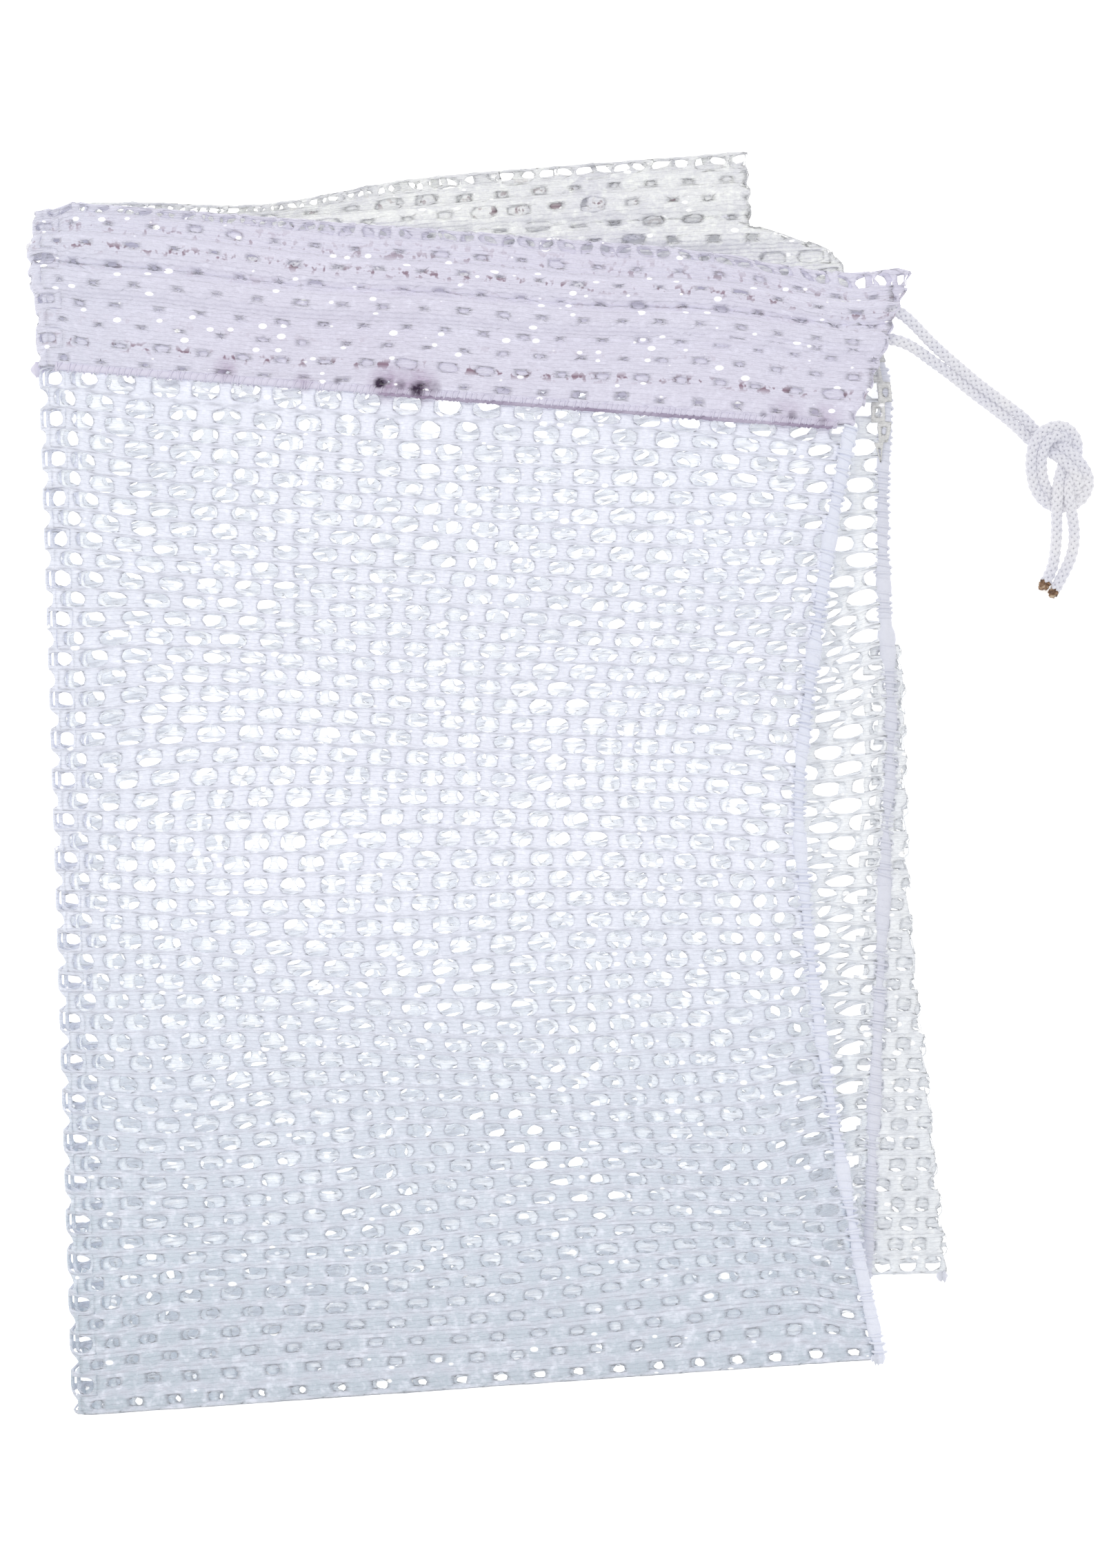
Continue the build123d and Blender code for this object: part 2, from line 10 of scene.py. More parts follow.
import bpy
import numpy as np
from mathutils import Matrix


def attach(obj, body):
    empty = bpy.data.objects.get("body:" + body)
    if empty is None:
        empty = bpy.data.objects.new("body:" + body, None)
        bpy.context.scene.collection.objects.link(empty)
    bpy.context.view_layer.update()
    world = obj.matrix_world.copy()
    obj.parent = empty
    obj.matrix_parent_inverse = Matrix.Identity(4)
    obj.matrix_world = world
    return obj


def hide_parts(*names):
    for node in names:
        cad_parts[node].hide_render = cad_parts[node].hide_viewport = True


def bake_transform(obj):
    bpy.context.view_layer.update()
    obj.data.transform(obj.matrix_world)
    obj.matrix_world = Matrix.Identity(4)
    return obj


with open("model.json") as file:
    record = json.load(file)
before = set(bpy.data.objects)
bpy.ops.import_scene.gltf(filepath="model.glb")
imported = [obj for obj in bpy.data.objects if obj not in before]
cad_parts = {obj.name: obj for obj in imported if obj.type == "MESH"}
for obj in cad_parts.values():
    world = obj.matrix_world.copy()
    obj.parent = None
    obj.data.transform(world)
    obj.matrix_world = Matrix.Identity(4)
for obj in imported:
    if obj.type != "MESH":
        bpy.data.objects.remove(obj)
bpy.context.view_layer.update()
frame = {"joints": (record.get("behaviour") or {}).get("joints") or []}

MM = 0.001
rng = np.random.default_rng(7)

# ---------------------------------------------------------------- places taken from the frame
hinge = next(j for j in frame["joints"] if j["name"] == "unfold")
FOLD_X = hinge["pos_m"][0] / MM
HINGE_Z = hinge["pos_m"][2] / MM


def fitted(piece, body, slot, *nodes):
    """Hold piece to body, or bake it where it lies if there is none, as for the pieces round the left fold,
    and hide the parts it stands for. The slot is not used.
    """
    if body:
        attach(piece, body)
    else:
        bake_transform(piece)
    if nodes:
        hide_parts(*nodes)
    return piece


# ---------------------------------------------------------------- camera, floor and light
VIEW_TILT = 1.83                 # the left fold leans this much in the view, degrees
VIEW_CENTRE = (17.5, -1.0)
VIEW_HEIGHT = 386.6              # what the picture's height covers at the table
LENS, SENSOR = 85.0, 36.0

scene = bpy.context.scene
camera_data = bpy.data.cameras.new("camera")
camera_data.lens = LENS
camera_data.sensor_width = SENSOR
camera = bpy.data.objects.new("camera", camera_data)
scene.collection.objects.link(camera)
camera.location = [c * MM for c in (*VIEW_CENTRE, VIEW_HEIGHT * LENS / SENSOR + HINGE_Z)]
camera.rotation_euler = (0, 0, math.radians(-VIEW_TILT))
scene.camera = camera
scene.view_settings.view_transform = "Standard"
scene.view_settings.look = "None"


def area_light(name, place, size, power, colour):
    data = bpy.data.lights.new(name, "AREA")
    data.shape = "DISK"
    data.size = size
    data.energy = power
    data.color = colour
    lamp = bpy.data.objects.new(name, data)
    lamp.location = place
    lamp.rotation_euler = (-lamp.location).to_track_quat("-Z", "Y").to_euler()
    scene.collection.objects.link(lamp)


area_light("key", (-0.6, 0.7, 1.3), 1.0, 7.0, (1.0, 0.99, 0.97))
area_light("fill", (0.9, -0.5, 1.1), 1.4, 3.0, (0.95, 0.97, 1.0))

world = bpy.data.worlds.new("studio")
world.use_nodes = True
world.node_tree.nodes["Background"].inputs["Color"].default_value = (1.0, 1.0, 1.0, 1.0)
world.node_tree.nodes["Background"].inputs["Strength"].default_value = 0.75
scene.world = world


# ---------------------------------------------------------------- small node helpers
class Shader:
    """A node tree with one Principled shader, built a node at a time."""

    def __init__(self, name):
        self.material = bpy.data.materials.new(name)
        self.material.use_nodes = True
        self.tree = self.material.node_tree
        self.bsdf = self.tree.nodes["Principled BSDF"]
        self.coords = self.node("ShaderNodeTexCoord").outputs["Object"]

    def node(self, kind, **settings):
        made = self.tree.nodes.new(kind)
        for key, value in settings.items():
            setattr(made, key, value)
        return made

    def link(self, a, b):
        self.tree.links.new(a, b)

    def noise(self, scale, detail=2.0, rough=0.5):
        made = self.node("ShaderNodeTexNoise")
        made.inputs["Scale"].default_value = scale
        made.inputs["Detail"].default_value = detail
        made.inputs["Roughness"].default_value = rough
        self.link(self.coords, made.inputs["Vector"])
        return made.outputs["Fac"]

    def ramp(self, value, stops):
        made = self.node("ShaderNodeValToRGB")
        elements = made.color_ramp.elements
        while len(elements) < len(stops):
            elements.new(0.5)
        for element, (place, colour) in zip(elements, stops):
            element.position = place
            element.color = (*colour, 1.0)
        self.link(value, made.inputs["Fac"])
        return made.outputs["Color"]

    def mix(self, factor, a, b):
        made = self.node("ShaderNodeMix", data_type="RGBA")
        for socket, value in ((made.inputs["Factor"], factor), (made.inputs["A"], a), (made.inputs["B"], b)):
            if hasattr(value, "is_output"):
                self.link(value, socket)
            elif isinstance(value, tuple):
                socket.default_value = (*value, 1.0)
            else:
                socket.default_value = value
        return made.outputs["Result"]

    def math(self, operation, a, b=0.0, clamp=False):
        made = self.node("ShaderNodeMath", operation=operation, use_clamp=clamp)
        for socket, value in zip(made.inputs, (a, b)):
            if hasattr(value, "is_output"):
                self.link(value, socket)
            else:
                socket.default_value = value
        return made.outputs["Value"]

    def plus(self, a, b, clamp=False):
        return self.math("ADD", a, b, clamp)

    def times(self, a, b, clamp=False):
        return self.math("MULTIPLY", a, b, clamp)

    def over(self, a, b, rate):
        """0 until a is more than b, then rising at this rate to 1."""
        return self.times(self.math("SUBTRACT", a, b), rate, clamp=True)

    def fading(self, distance, rate):
        """1 at no distance, then falling at this rate to 0."""
        return self.math("SUBTRACT", 1.0, self.times(distance, rate), clamp=True)

    def pattern(self):
        """Where a point is in the net's own pattern: X in meshes, Y in rows."""
        made = self.node("ShaderNodeSeparateXYZ")
        self.link(self.node("ShaderNodeTexCoord").outputs["UV"], made.inputs[0])
        return made.outputs

    def paint(self, colour, glow=0.0):
        """Colour the surface, and give it this much painted glow: an emission that stands in for the light
        that passes through pale yarn.
        """
        self.link(colour, self.bsdf.inputs["Base Color"])
        if glow:
            self.link(colour, self.bsdf.inputs["Emission Color"])
            self.set(Emission_Strength=glow)

    def bump(self, height, strength, distance):
        made = self.node("ShaderNodeBump")
        made.inputs["Strength"].default_value = strength
        made.inputs["Distance"].default_value = distance
        self.link(height, made.inputs["Height"])
        self.link(made.outputs["Normal"], self.bsdf.inputs["Normal"])

    def set(self, **values):
        for key, value in values.items():
            self.bsdf.inputs[key.replace("_", " ")].default_value = value


def near(shader, place, radius):
    """1 at place, in millimetres, and 0 a radius away, in the object's own coordinates."""
    distance = shader.node("ShaderNodeVectorMath", operation="DISTANCE")
    shader.link(shader.coords, distance.inputs[0])
    distance.inputs[1].default_value = tuple(c * MM for c in place)
    return shader.fading(distance.outputs["Value"], 1 / (radius * MM))


LAVENDER = (0.735, 0.75, 0.83)
LAVENDER_DEEP = (0.665, 0.68, 0.77)
LAVENDER_BLUE = (0.48, 0.54, 0.605)
MAUVE = (0.55, 0.545, 0.63)
MAUVE_DEEP = (0.505, 0.485, 0.575)
CREAM = (0.85, 0.87, 0.82)
# painted light: the plies under the front net are the same yarn, painted paler to make up for the shade the
# plies above cast on them
INNER = (0.82, 0.835, 0.835)
INNER_DEEP = (0.73, 0.75, 0.80)
WHITE = (1.0, 1.0, 1.0)
STAIN = (0.19, 0.09, 0.20)
INK = (0.03, 0.015, 0.04)
FLECK = (0.15, 0.075, 0.11)
PAINTED_GLOW = 0.30             # painted light: a glow, an emission that stands in for light coming through the pale yarn from the layers round it


def pinholes(shader, colour, scale, size, share):
    """Small bright dots, wider than they are high, where light shows straight through the knitting."""
    cells = shader.node("ShaderNodeTexVoronoi")
    cells.inputs["Scale"].default_value = scale
    wide = shader.node("ShaderNodeVectorMath", operation="MULTIPLY")
    wide.inputs[1].default_value = (0.62, 1.0, 1.0)
    shader.link(shader.coords, wide.inputs[0])
    shader.link(wide.outputs[0], cells.inputs["Vector"])
    each = shader.node("ShaderNodeSeparateColor")
    shader.link(cells.outputs["Color"], each.inputs["Color"])
    reach = shader.times(each.outputs[1], size)
    bright = shader.over(reach, cells.outputs["Distance"], 14.0)
    bright = shader.times(bright, shader.math("LESS_THAN", each.outputs[0], share))
    return shader.mix(bright, colour, WHITE)


def scaled(colour, factor):
    return tuple(min(1.0, factor * c) for c in colour)


def net_material(
    name, light, deep, glow, tint=None, glow_under_front=0.0, holes=(330.0, 0.26, 0.5), low_share=0.85, rim=0.60
):
    """Matt polyester yarn: mottled colour, knitted loops in the bump, painted shade on the thin bars and
    round the openings, a painted glow, soft sheen.
    """
    shader = Shader(name)
    patches = shader.noise(45.0, 3.0)
    fibres = shader.noise(1100.0, 4.0, 0.65)
    strands = shader.noise(420.0, 2.0, 0.6)
    place = shader.node("ShaderNodeSeparateXYZ")
    shader.link(shader.coords, place.inputs[0])
    colour = shader.mix(patches, deep, light)

    # bluer towards the bottom and the left, and darker still at the bottom fold
    low = shader.times(shader.over(-0.02, place.outputs["Y"], 10.0), low_share)
    left = shader.times(shader.over(-0.055, place.outputs["X"], 18.0), 0.22)
    colour = shader.mix(shader.plus(low, left, clamp=True), colour, LAVENDER_BLUE)
    fold = shader.over(-0.118, place.outputs["Y"], 30.0)
    colour = shader.mix(shader.times(fold, 0.75 * low_share), colour, scaled(LAVENDER_BLUE, 0.80))

    # painted shade where the yarn is thin, round the openings and along the bars, pale strands, and painted
    # shade between the fibres
    yarn = shader.node("ShaderNodeAttribute", attribute_name="yarn").outputs["Fac"]
    thin = shader.math("SUBTRACT", 1.0, yarn, clamp=True)
    shade_tone = scaled(deep, 0.88)
    colour = shader.mix(shader.times(thin, rim), colour, shade_tone)
    colour = shader.mix(shader.times(shader.over(strands, 0.50, 3.0), 0.7), colour, scaled(light, 1.14))
    colour = shader.mix(shader.over(0.56, fibres, 1.5), colour, shade_tone)

    # painted shade: a dark line along the bars between the rows, at the top and bottom edges of the openings
    beyond = shader.math("FRACT", shader.plus(shader.pattern()["Y"], 0.5))
    to_row = shader.math("ABSOLUTE", shader.math("SUBTRACT", beyond, 0.5))
    row_line = shader.times(shader.fading(to_row, 11.0), shader.over(thin, 0.45, 2.0 * rim))
    row_line = shader.times(shader.times(row_line, patches), 2.2, clamp=True)
    colour = shader.mix(row_line, colour, scaled(deep, 0.66))
    if tint:
        colour = tint(shader, colour)
    colour = pinholes(shader, colour, *holes)
    shader.paint(colour, glow)
    if glow_under_front:      # painted light: more glow where the front half lies over it, to lift the shade it casts
        under = shader.over(0.082, place.outputs["X"], 60.0)
        strength = shader.plus(shader.times(under, glow_under_front), glow)
        shader.link(strength, shader.bsdf.inputs["Emission Strength"])
    loops = shader.node("ShaderNodeTexWave", wave_type="BANDS", bands_direction="Y")
    loops.inputs["Scale"].default_value = 1.5
    loops.inputs["Distortion"].default_value = 3.0
    loops.inputs["Detail"].default_value = 2.0
    loops.inputs["Detail Scale"].default_value = 3.0
    shader.link(shader.node("ShaderNodeTexCoord").outputs["UV"], loops.inputs["Vector"])
    height = shader.plus(loops.outputs["Fac"], shader.times(fibres, 1.4))
    shader.bump(height, 0.8, 0.00028)
    roughness = shader.plus(shader.times(fibres, 0.2), 0.62)
    shader.link(roughness, shader.bsdf.inputs["Roughness"])
    shader.set(Sheen_Weight=0.25, Sheen_Roughness=0.5, Specular_IOR_Level=0.25)
    return shader.material


floor_shader = Shader("paper_floor")
floor_grain = floor_shader.noise(60.0, 3.0)
floor_colour = floor_shader.mix(floor_grain, (0.93, 0.93, 0.92), (0.95, 0.95, 0.94))
floor_shader.paint(floor_colour, 0.50)
floor_shader.set(Roughness=0.9, Specular_IOR_Level=0.1)

bpy.ops.mesh.primitive_plane_add(size=6.0, location=(0, 0, -0.0002))
floor = bpy.context.object
floor.name = "floor"
floor.data.materials.append(floor_shader.material)


# ---------------------------------------------------------------- meshes from arrays
def mesh_object(name, vertices, quads, material, uv=None, attributes=None, sides=(), corners_of_sides=()):
    """An object of smooth quads, and flat quads and triangles at its sides, from arrays in millimetres."""
    mesh = bpy.data.meshes.new(name)
    mesh.vertices.add(len(vertices))
    mesh.vertices.foreach_set("co", (np.asarray(vertices, float) * MM).ravel())
    parts = ((quads, 4), (sides, 4), (corners_of_sides, 3))
    kinds = [np.asarray(part, np.int32).reshape(-1, size) for part, size in parts]
    corners = np.concatenate([kind.ravel() for kind in kinds])
    sizes = np.concatenate([np.full(len(kind), kind.shape[1]) for kind in kinds])
    mesh.loops.add(len(corners))
    mesh.loops.foreach_set("vertex_index", corners)
    mesh.polygons.add(len(sizes))
    mesh.polygons.foreach_set("loop_start", np.concatenate([[0], np.cumsum(sizes)[:-1]]).astype(np.int32))
    mesh.update(calc_edges=True)
    mesh.validate()
    smooth = np.arange(len(sizes)) < len(kinds[0])
    mesh.polygons.foreach_set("use_smooth", smooth)
    if uv is not None:
        layer = mesh.uv_layers.new(name="pattern")
        layer.data.foreach_set("uv", np.asarray(uv, np.float32)[corners].ravel())
    for key, values in (attributes or {}).items():
        mesh.attributes.new(key, "FLOAT", "POINT").data.foreach_set("value", np.asarray(values, np.float32))
    mesh.materials.append(material)
    made = bpy.data.objects.new(name, mesh)
    scene.collection.objects.link(made)
    return made


def joined(parts):
    """Several (vertices, quads) as one."""
    vertices, quads, count = [], [], 0
    for v, q in parts:
        vertices.append(v)
        quads.append(np.asarray(q) + count)
        count += len(v)
    return np.concatenate(vertices), np.concatenate(quads)


def unit(a):
    return a / np.linalg.norm(a, axis=-1, keepdims=True)


def tangents(path):
    return unit(np.gradient(path, axis=0))


def sweep(path, outward, radii, sides, flat=1.0):
    """A closed tube along path; outward is one direction, or one at each point, that fixes its roll."""
    along = tangents(path)
    outward = np.broadcast_to(np.asarray(outward, float), path.shape)
    up = unit(outward - along * np.sum(outward * along, axis=1, keepdims=True))
    side = np.cross(along, up)
    radii = np.broadcast_to(np.asarray(radii, float), len(path)).copy()
    angle = np.arange(sides) * 2 * np.pi / sides
    across = side[:, None, :] * np.cos(angle)[None, :, None]
    ring = across + flat * up[:, None, :] * np.sin(angle)[None, :, None]
    vertices = path[:, None, :] + ring * radii[:, None, None]
    n = len(path)
    i, j = np.meshgrid(np.arange(n - 1), np.arange(sides), indexing="ij")
    k = (j + 1) % sides
    quads = np.stack([i * sides + j, i * sides + k, (i + 1) * sides + k, (i + 1) * sides + j], -1)
    vertices = vertices.reshape(-1, 3)
    half = sides // 2
    caps = []
    for start, turn in ((0, 1), ((n - 1) * sides, -1)):
        ends = [start + a for a in range(sides)][::-turn]
        caps += [(ends[a], ends[a + 1], ends[sides - 2 - a], ends[sides - 1 - a]) for a in range(half - 1)]
    return vertices, np.concatenate([quads.reshape(-1, 4), np.array(caps)])


def nurbs_line(points, step):
    """Points of the smooth curve with these control points, in millimetres, evenly spaced."""
    curve = bpy.data.curves.new("guide", "CURVE")
    curve.dimensions = "3D"
    curve.resolution_u = 24
    spline = curve.splines.new("NURBS")
    spline.points.add(len(points) - 1)
    for point, place in zip(spline.points, points):
        point.co = (*(c * MM for c in place), 1.0)
    spline.order_u = 3
    spline.use_endpoint_u = True
    holder = bpy.data.objects.new("guide", curve)
    scene.collection.objects.link(holder)
    mesh = bpy.data.meshes.new_from_object(holder)
    line = np.array([v.co for v in mesh.vertices], float) / MM
    bpy.data.objects.remove(holder)
    bpy.data.curves.remove(curve)
    bpy.data.meshes.remove(mesh)
    far = distance_along(line)
    keep = np.concatenate([[True], np.diff(far) > 1e-6])
    places = np.linspace(0, far[-1], max(2, int(round(far[-1] / step)) + 1))
    return np.stack([np.interp(places, far[keep], line[keep, axis]) for axis in range(3)], axis=1)


def distance_along(line):
    """How far along the line each of its points is."""
    return np.concatenate([[0], np.cumsum(np.linalg.norm(np.diff(line, axis=0), axis=1))])


def round_line(line):
    """Directions along, up from and across the line at each of its points."""
    along = tangents(line)
    up = unit(np.array([0, 0, 1.0]) - along * along[:, 2:3])
    return along, up, np.cross(along, up)


# ---------------------------------------------------------------- the drawcord
BRAID_PITCH = 7.4
BRAID_RADIUS, BRAID_SWAY, YARN = 0.92, 0.24, 0.46


def braid(points, step=0.3, sides=6):
    """Eight yarns plaited round the curve through these control points."""
    line = nurbs_line(points, step)
    _, up, side = round_line(line)
    turn = 2 * np.pi * distance_along(line) / BRAID_PITCH
    parts = []
    for way in (1, -1):
        for yarn in range(4):
            angle = way * turn + yarn * np.pi / 2
            out = side * np.cos(angle)[:, None] + up * np.sin(angle)[:, None]
            reach = BRAID_RADIUS + way * BRAID_SWAY * np.cos(4 * turn)
            parts.append(sweep(line + out * reach[:, None], out, YARN, sides, 0.85))
    vertices, quads = joined(parts)
    return vertices, quads, line


def cord_material():
    shader = Shader("braided_cord")
    fibres = shader.noise(1500.0, 3.0, 0.6)
    patches = shader.noise(90.0, 2.0)
    colour = shader.mix(patches, (0.62, 0.63, 0.73), (0.84, 0.83, 0.81))
    colour = shader.mix(shader.times(fibres, 0.3), colour, (0.50, 0.49, 0.56))
    # painted light: the cord glows a little, an emission that lifts its shade
    shader.paint(colour, 0.15)
    shader.bump(fibres, 0.5, 0.00015)
    shader.set(Roughness=0.7, Sheen_Weight=0.3, Specular_IOR_Level=0.25)
    return shader.material


def tip_material():
    shader = Shader("melted_brown_tip")
    blobs = shader.noise(900.0, 3.0, 0.6)
    burnt, brown, pale = (0.09, 0.045, 0.025), (0.28, 0.16, 0.09), (0.68, 0.58, 0.44)
    colour = shader.ramp(blobs, [(0.35, burnt), (0.55, brown), (0.70, pale)])
    shader.paint(colour)
    shader.bump(blobs, 0.8, 0.0004)
    shader.set(Roughness=0.45, Specular_IOR_Level=0.4)
    return shader.material


BRAIDED = cord_material()
MELTED = tip_material()

STRAND_OUTER = [
    (101.64, 112.91, 9.6), (104.23, 112.63, 9.6), (108.3, 108.9, 8.9), (112.4, 104.4, 7.3),
    (118.3, 99.3, 5.5), (124.2, 94.3, 3.6), (130.4, 89.6, 2.9), (135.65, 85.52, 2.3),
]
STRAND_INNER = [
    (100.90, 105.95, 8.1), (103.48, 105.67, 8.1), (107.6, 103.9, 7.6), (112.0, 100.6, 6.2),
    (116.9, 97.25, 4.2), (122.7, 92.5, 2.2), (128.85, 87.8, 1.6), (133.85, 83.32, 1.9),
]
TAIL_RIGHT = [
    (146.2, 62.05, 2.4), (146.9, 57.2, 1.9), (146.3, 52.2, 1.6), (144.3, 47.8, 1.5), (141.6, 43.2, 1.5),
]
TAIL_LEFT = [
    (142.4, 62.05, 2.4), (142.4, 57.2, 1.9), (141.8, 51.8, 1.6), (141.0, 48.2, 1.5), (139.3, 45.2, 1.5),
]
# the overhand knot: the middle of the two strands, which lie side by side all the way round it
KNOT = [
    (137.1, 81.4, 1.7), (141.8, 78.7, 2.2), (146.8, 74.7, 4.5), (149.9, 69.6, 3.6), (147.8, 65.4, 2.1),
    (142.5, 64.3, 1.6), (138.6, 67.6, 2.0), (137.4, 73.6, 3.2), (138.1, 78.8, 4.7), (140.9, 82.1, 5.0),
    (144.8, 82.4, 4.2), (147.2, 79.4, 2.5), (146.3, 74.7, 1.6), (144.4, 70.1, 2.6), (144.0, 66.4, 4.4),
]
HALF_PAIR = 1.3                  # from the middle of the two strands to each one's centre
TIP_LENGTH, TIP_OVERLAP, TIP_RADIUS = 3.2, 0.9, 1.35


def beside(line, offset):
    """The same points moved sideways, seen from above."""
    line = np.array(line)
    along = np.gradient(line[:, :2], axis=0)
    side = unit(np.stack([-along[:, 1], along[:, 0]], axis=1))
    return [(x + offset * s[0], y + offset * s[1], z) for (x, y, z), s in zip(line, side)]


def free_strand(name, strand, offset, tail, nodes, tip_node):
    """One free end of the cord, from the casing through the knot to its melted tip."""
    vertices, quads, line = braid(strand + beside(KNOT, offset) + tail)
    cord = mesh_object(name, vertices, quads, BRAIDED)
    fitted(cord, "drawcord", "drawcord_braid", *nodes)

    # the melted end: a lumpy drop, wider than it is thick
    end, direction = line[-1], line[-1] - line[-8]
    direction = direction / np.linalg.norm(direction)
    places = np.linspace(0, 1, 15)
    bead_line = end + direction * (places[:, None] * TIP_LENGTH - TIP_OVERLAP)
    bead_line = bead_line + np.array([0.35, -0.2, 0]) * (rng.standard_normal((15, 1)) * 0.25)
    uneven = 1 + 0.13 * rng.standard_normal(15)
    radii = TIP_RADIUS * np.sqrt(np.clip(1 - (2 * places - 1) ** 2, 0.02, 1)) * uneven
    tip = mesh_object(name + "_tip", *sweep(bead_line, (0, 0, 1), radii, 14, 0.8), MELTED)
    fitted(tip, "drawcord", "melted_tip", tip_node)


free_strand(
    "drawcord_outer", STRAND_OUTER, HALF_PAIR, TAIL_RIGHT,
    ["cord_strand_outer", "cord_knot", "cord_tail_right"], "cord_tip_right",
)
free_strand(
    "drawcord_inner", STRAND_INNER, -HALF_PAIR, TAIL_LEFT,
    ["cord_strand_inner", "cord_tail_left"], "cord_tip_left",
)

# ---------------------------------------------------------------- shape of the bag, seen from above
HEM_Y = 105.6                    # where the hem seams meet the left fold
BAND = 40.6                      # height of the casing
TILT = {"front": math.radians(-6.1), "rear": math.radians(2.55)}    # of each half's hems
LANES = {"outer": 29.1, "inner": 22.1}          # each wall's cord, measured up from the hem seam
RISE = 2.95                      # how far a ply lifts over the cord
BASE = {"rear_outer": 0.0, "rear_inner": 1.5, "front_inner": 6.0, "front_outer": 7.5}
CORD_LIFT = 2.1
FRONT_SEAM = [
    (92.4, 96.0), (90.6, 83.7), (87.4, 66.0), (84.2, 49.5), (78.3, 13.6), (75.4, -9.0), (77.0, -33.5),
    (78.6, -57.2), (82.5, -88.4), (87.4, -122.6), (92.4, -148.0),
]
REAR_SEAM = [
    (95.4, 116.0), (98.6, 106.0), (101.0, 96.0), (101.2, 88.0), (99.7, 74.0), (98.9, 43.0), (100.2, 20.0),
    (99.5, 1.0), (97.6, -18.0), (94.8, -57.0), (92.5, -85.0), (90.3, -117.0), (89.8, -129.0),
]
RAW_EDGE = [
    (101.4, 32.0), (103.2, 25.4), (102.6, 2.6), (102.4, -25.1), (103.7, -54.4), (105.8, -74.7),
    (107.2, -105.2), (109.2, -120.3), (110.0, -132.0),
]


def side_line(points):
    """x as a smooth function of y along a side edge, from points listed downwards."""
    line = nurbs_line([(x, y, 0.0) for x, y in points], 1.0)[::-1]
    return lambda y: np.interp(y, line[:, 1], line[:, 0])


SEAM_LINES = {"front": FRONT_SEAM, "rear": REAR_SEAM}
SEAM_X = {half: side_line(line) for half, line in SEAM_LINES.items()}
raw_edge_x = side_line(RAW_EDGE)
BOTTOM = {"front": (-152.6, math.tan(math.radians(2.2))), "rear": (-150.6, math.tan(math.radians(7.15)))}


def hem_y(half, x):
    return HEM_Y + (x - FOLD_X) * math.tan(TILT[half])


def bottom_y(half, x):
    start, slope = BOTTOM[half]
    return start + (x - FOLD_X) * slope


def smooth_step(low, high, value):
    t = np.clip((value - low) / (high - low), 0, 1)
    return t * t * (3 - 2 * t)


def mixed(a, b, weight):
    return a + (b - a) * weight


# ---------------------------------------------------------------- the net as a flat pattern
COLUMNS = 21                     # meshes across one half of the folded bag
WALL_ROWS = 52                   # rows of meshes from the bottom fold to the hem
PITCH, ROW = 9.25, 4.95          # mesh to mesh along a row, and row to row
HOLES = {                        # half sizes of a mesh's opening
    "front_outer": (3.15, 2.10), "front_inner": (3.9, 2.2), "rear_inner": (3.9, 2.2),
    "rear_outer": (3.9, 2.2), "casing": (2.35, 1.25), "rear_casing": (2.6, 1.45),
}
# the points round one mesh that it shares with its neighbours, in quarter pitches from its middle and
# quarter rows up from its lower edge, and the angle on the rim of its opening that belongs to each
RING = [
    (2, 2), (2, 3), (2, 4), (1, 4), (0, 4), (-1, 4), (-2, 4), (-2, 3),
    (-2, 2), (-2, 1), (-2, 0), (-1, 0), (0, 0), (1, 0), (2, 0), (2, 1),
]
RING_ANGLES = np.radians([0, 28, 46, 66, 90, 114, 134, 152, 180, 208, 226, 246, 270, 294, 314, 332])
HOLE_POWER = 0.90                # below 1 squares the oval's corners
PILLAR, CROSSING, BAR = 0.46, 0.36, 0.26        # half thickness of the yarn


def cells_between(first, last, rows):
    """(column, row) of the meshes whose centre is from first to last pitches along their row."""
    found = []
    for j in rows:
        shift = 0.5 * (j % 2)
        for i in range(int(math.floor(first)) - 1, int(math.ceil(last)) + 1):
            if first <= i + shift <= last:
                found.append((i, j))
    return found


def half_cells(way, last, rows):
    """The meshes of the front half, where way is 1, or of the rear half, where it is -1."""
    return cells_between(1.0, last, rows) if way > 0 else cells_between(-last, -1.0, rows)


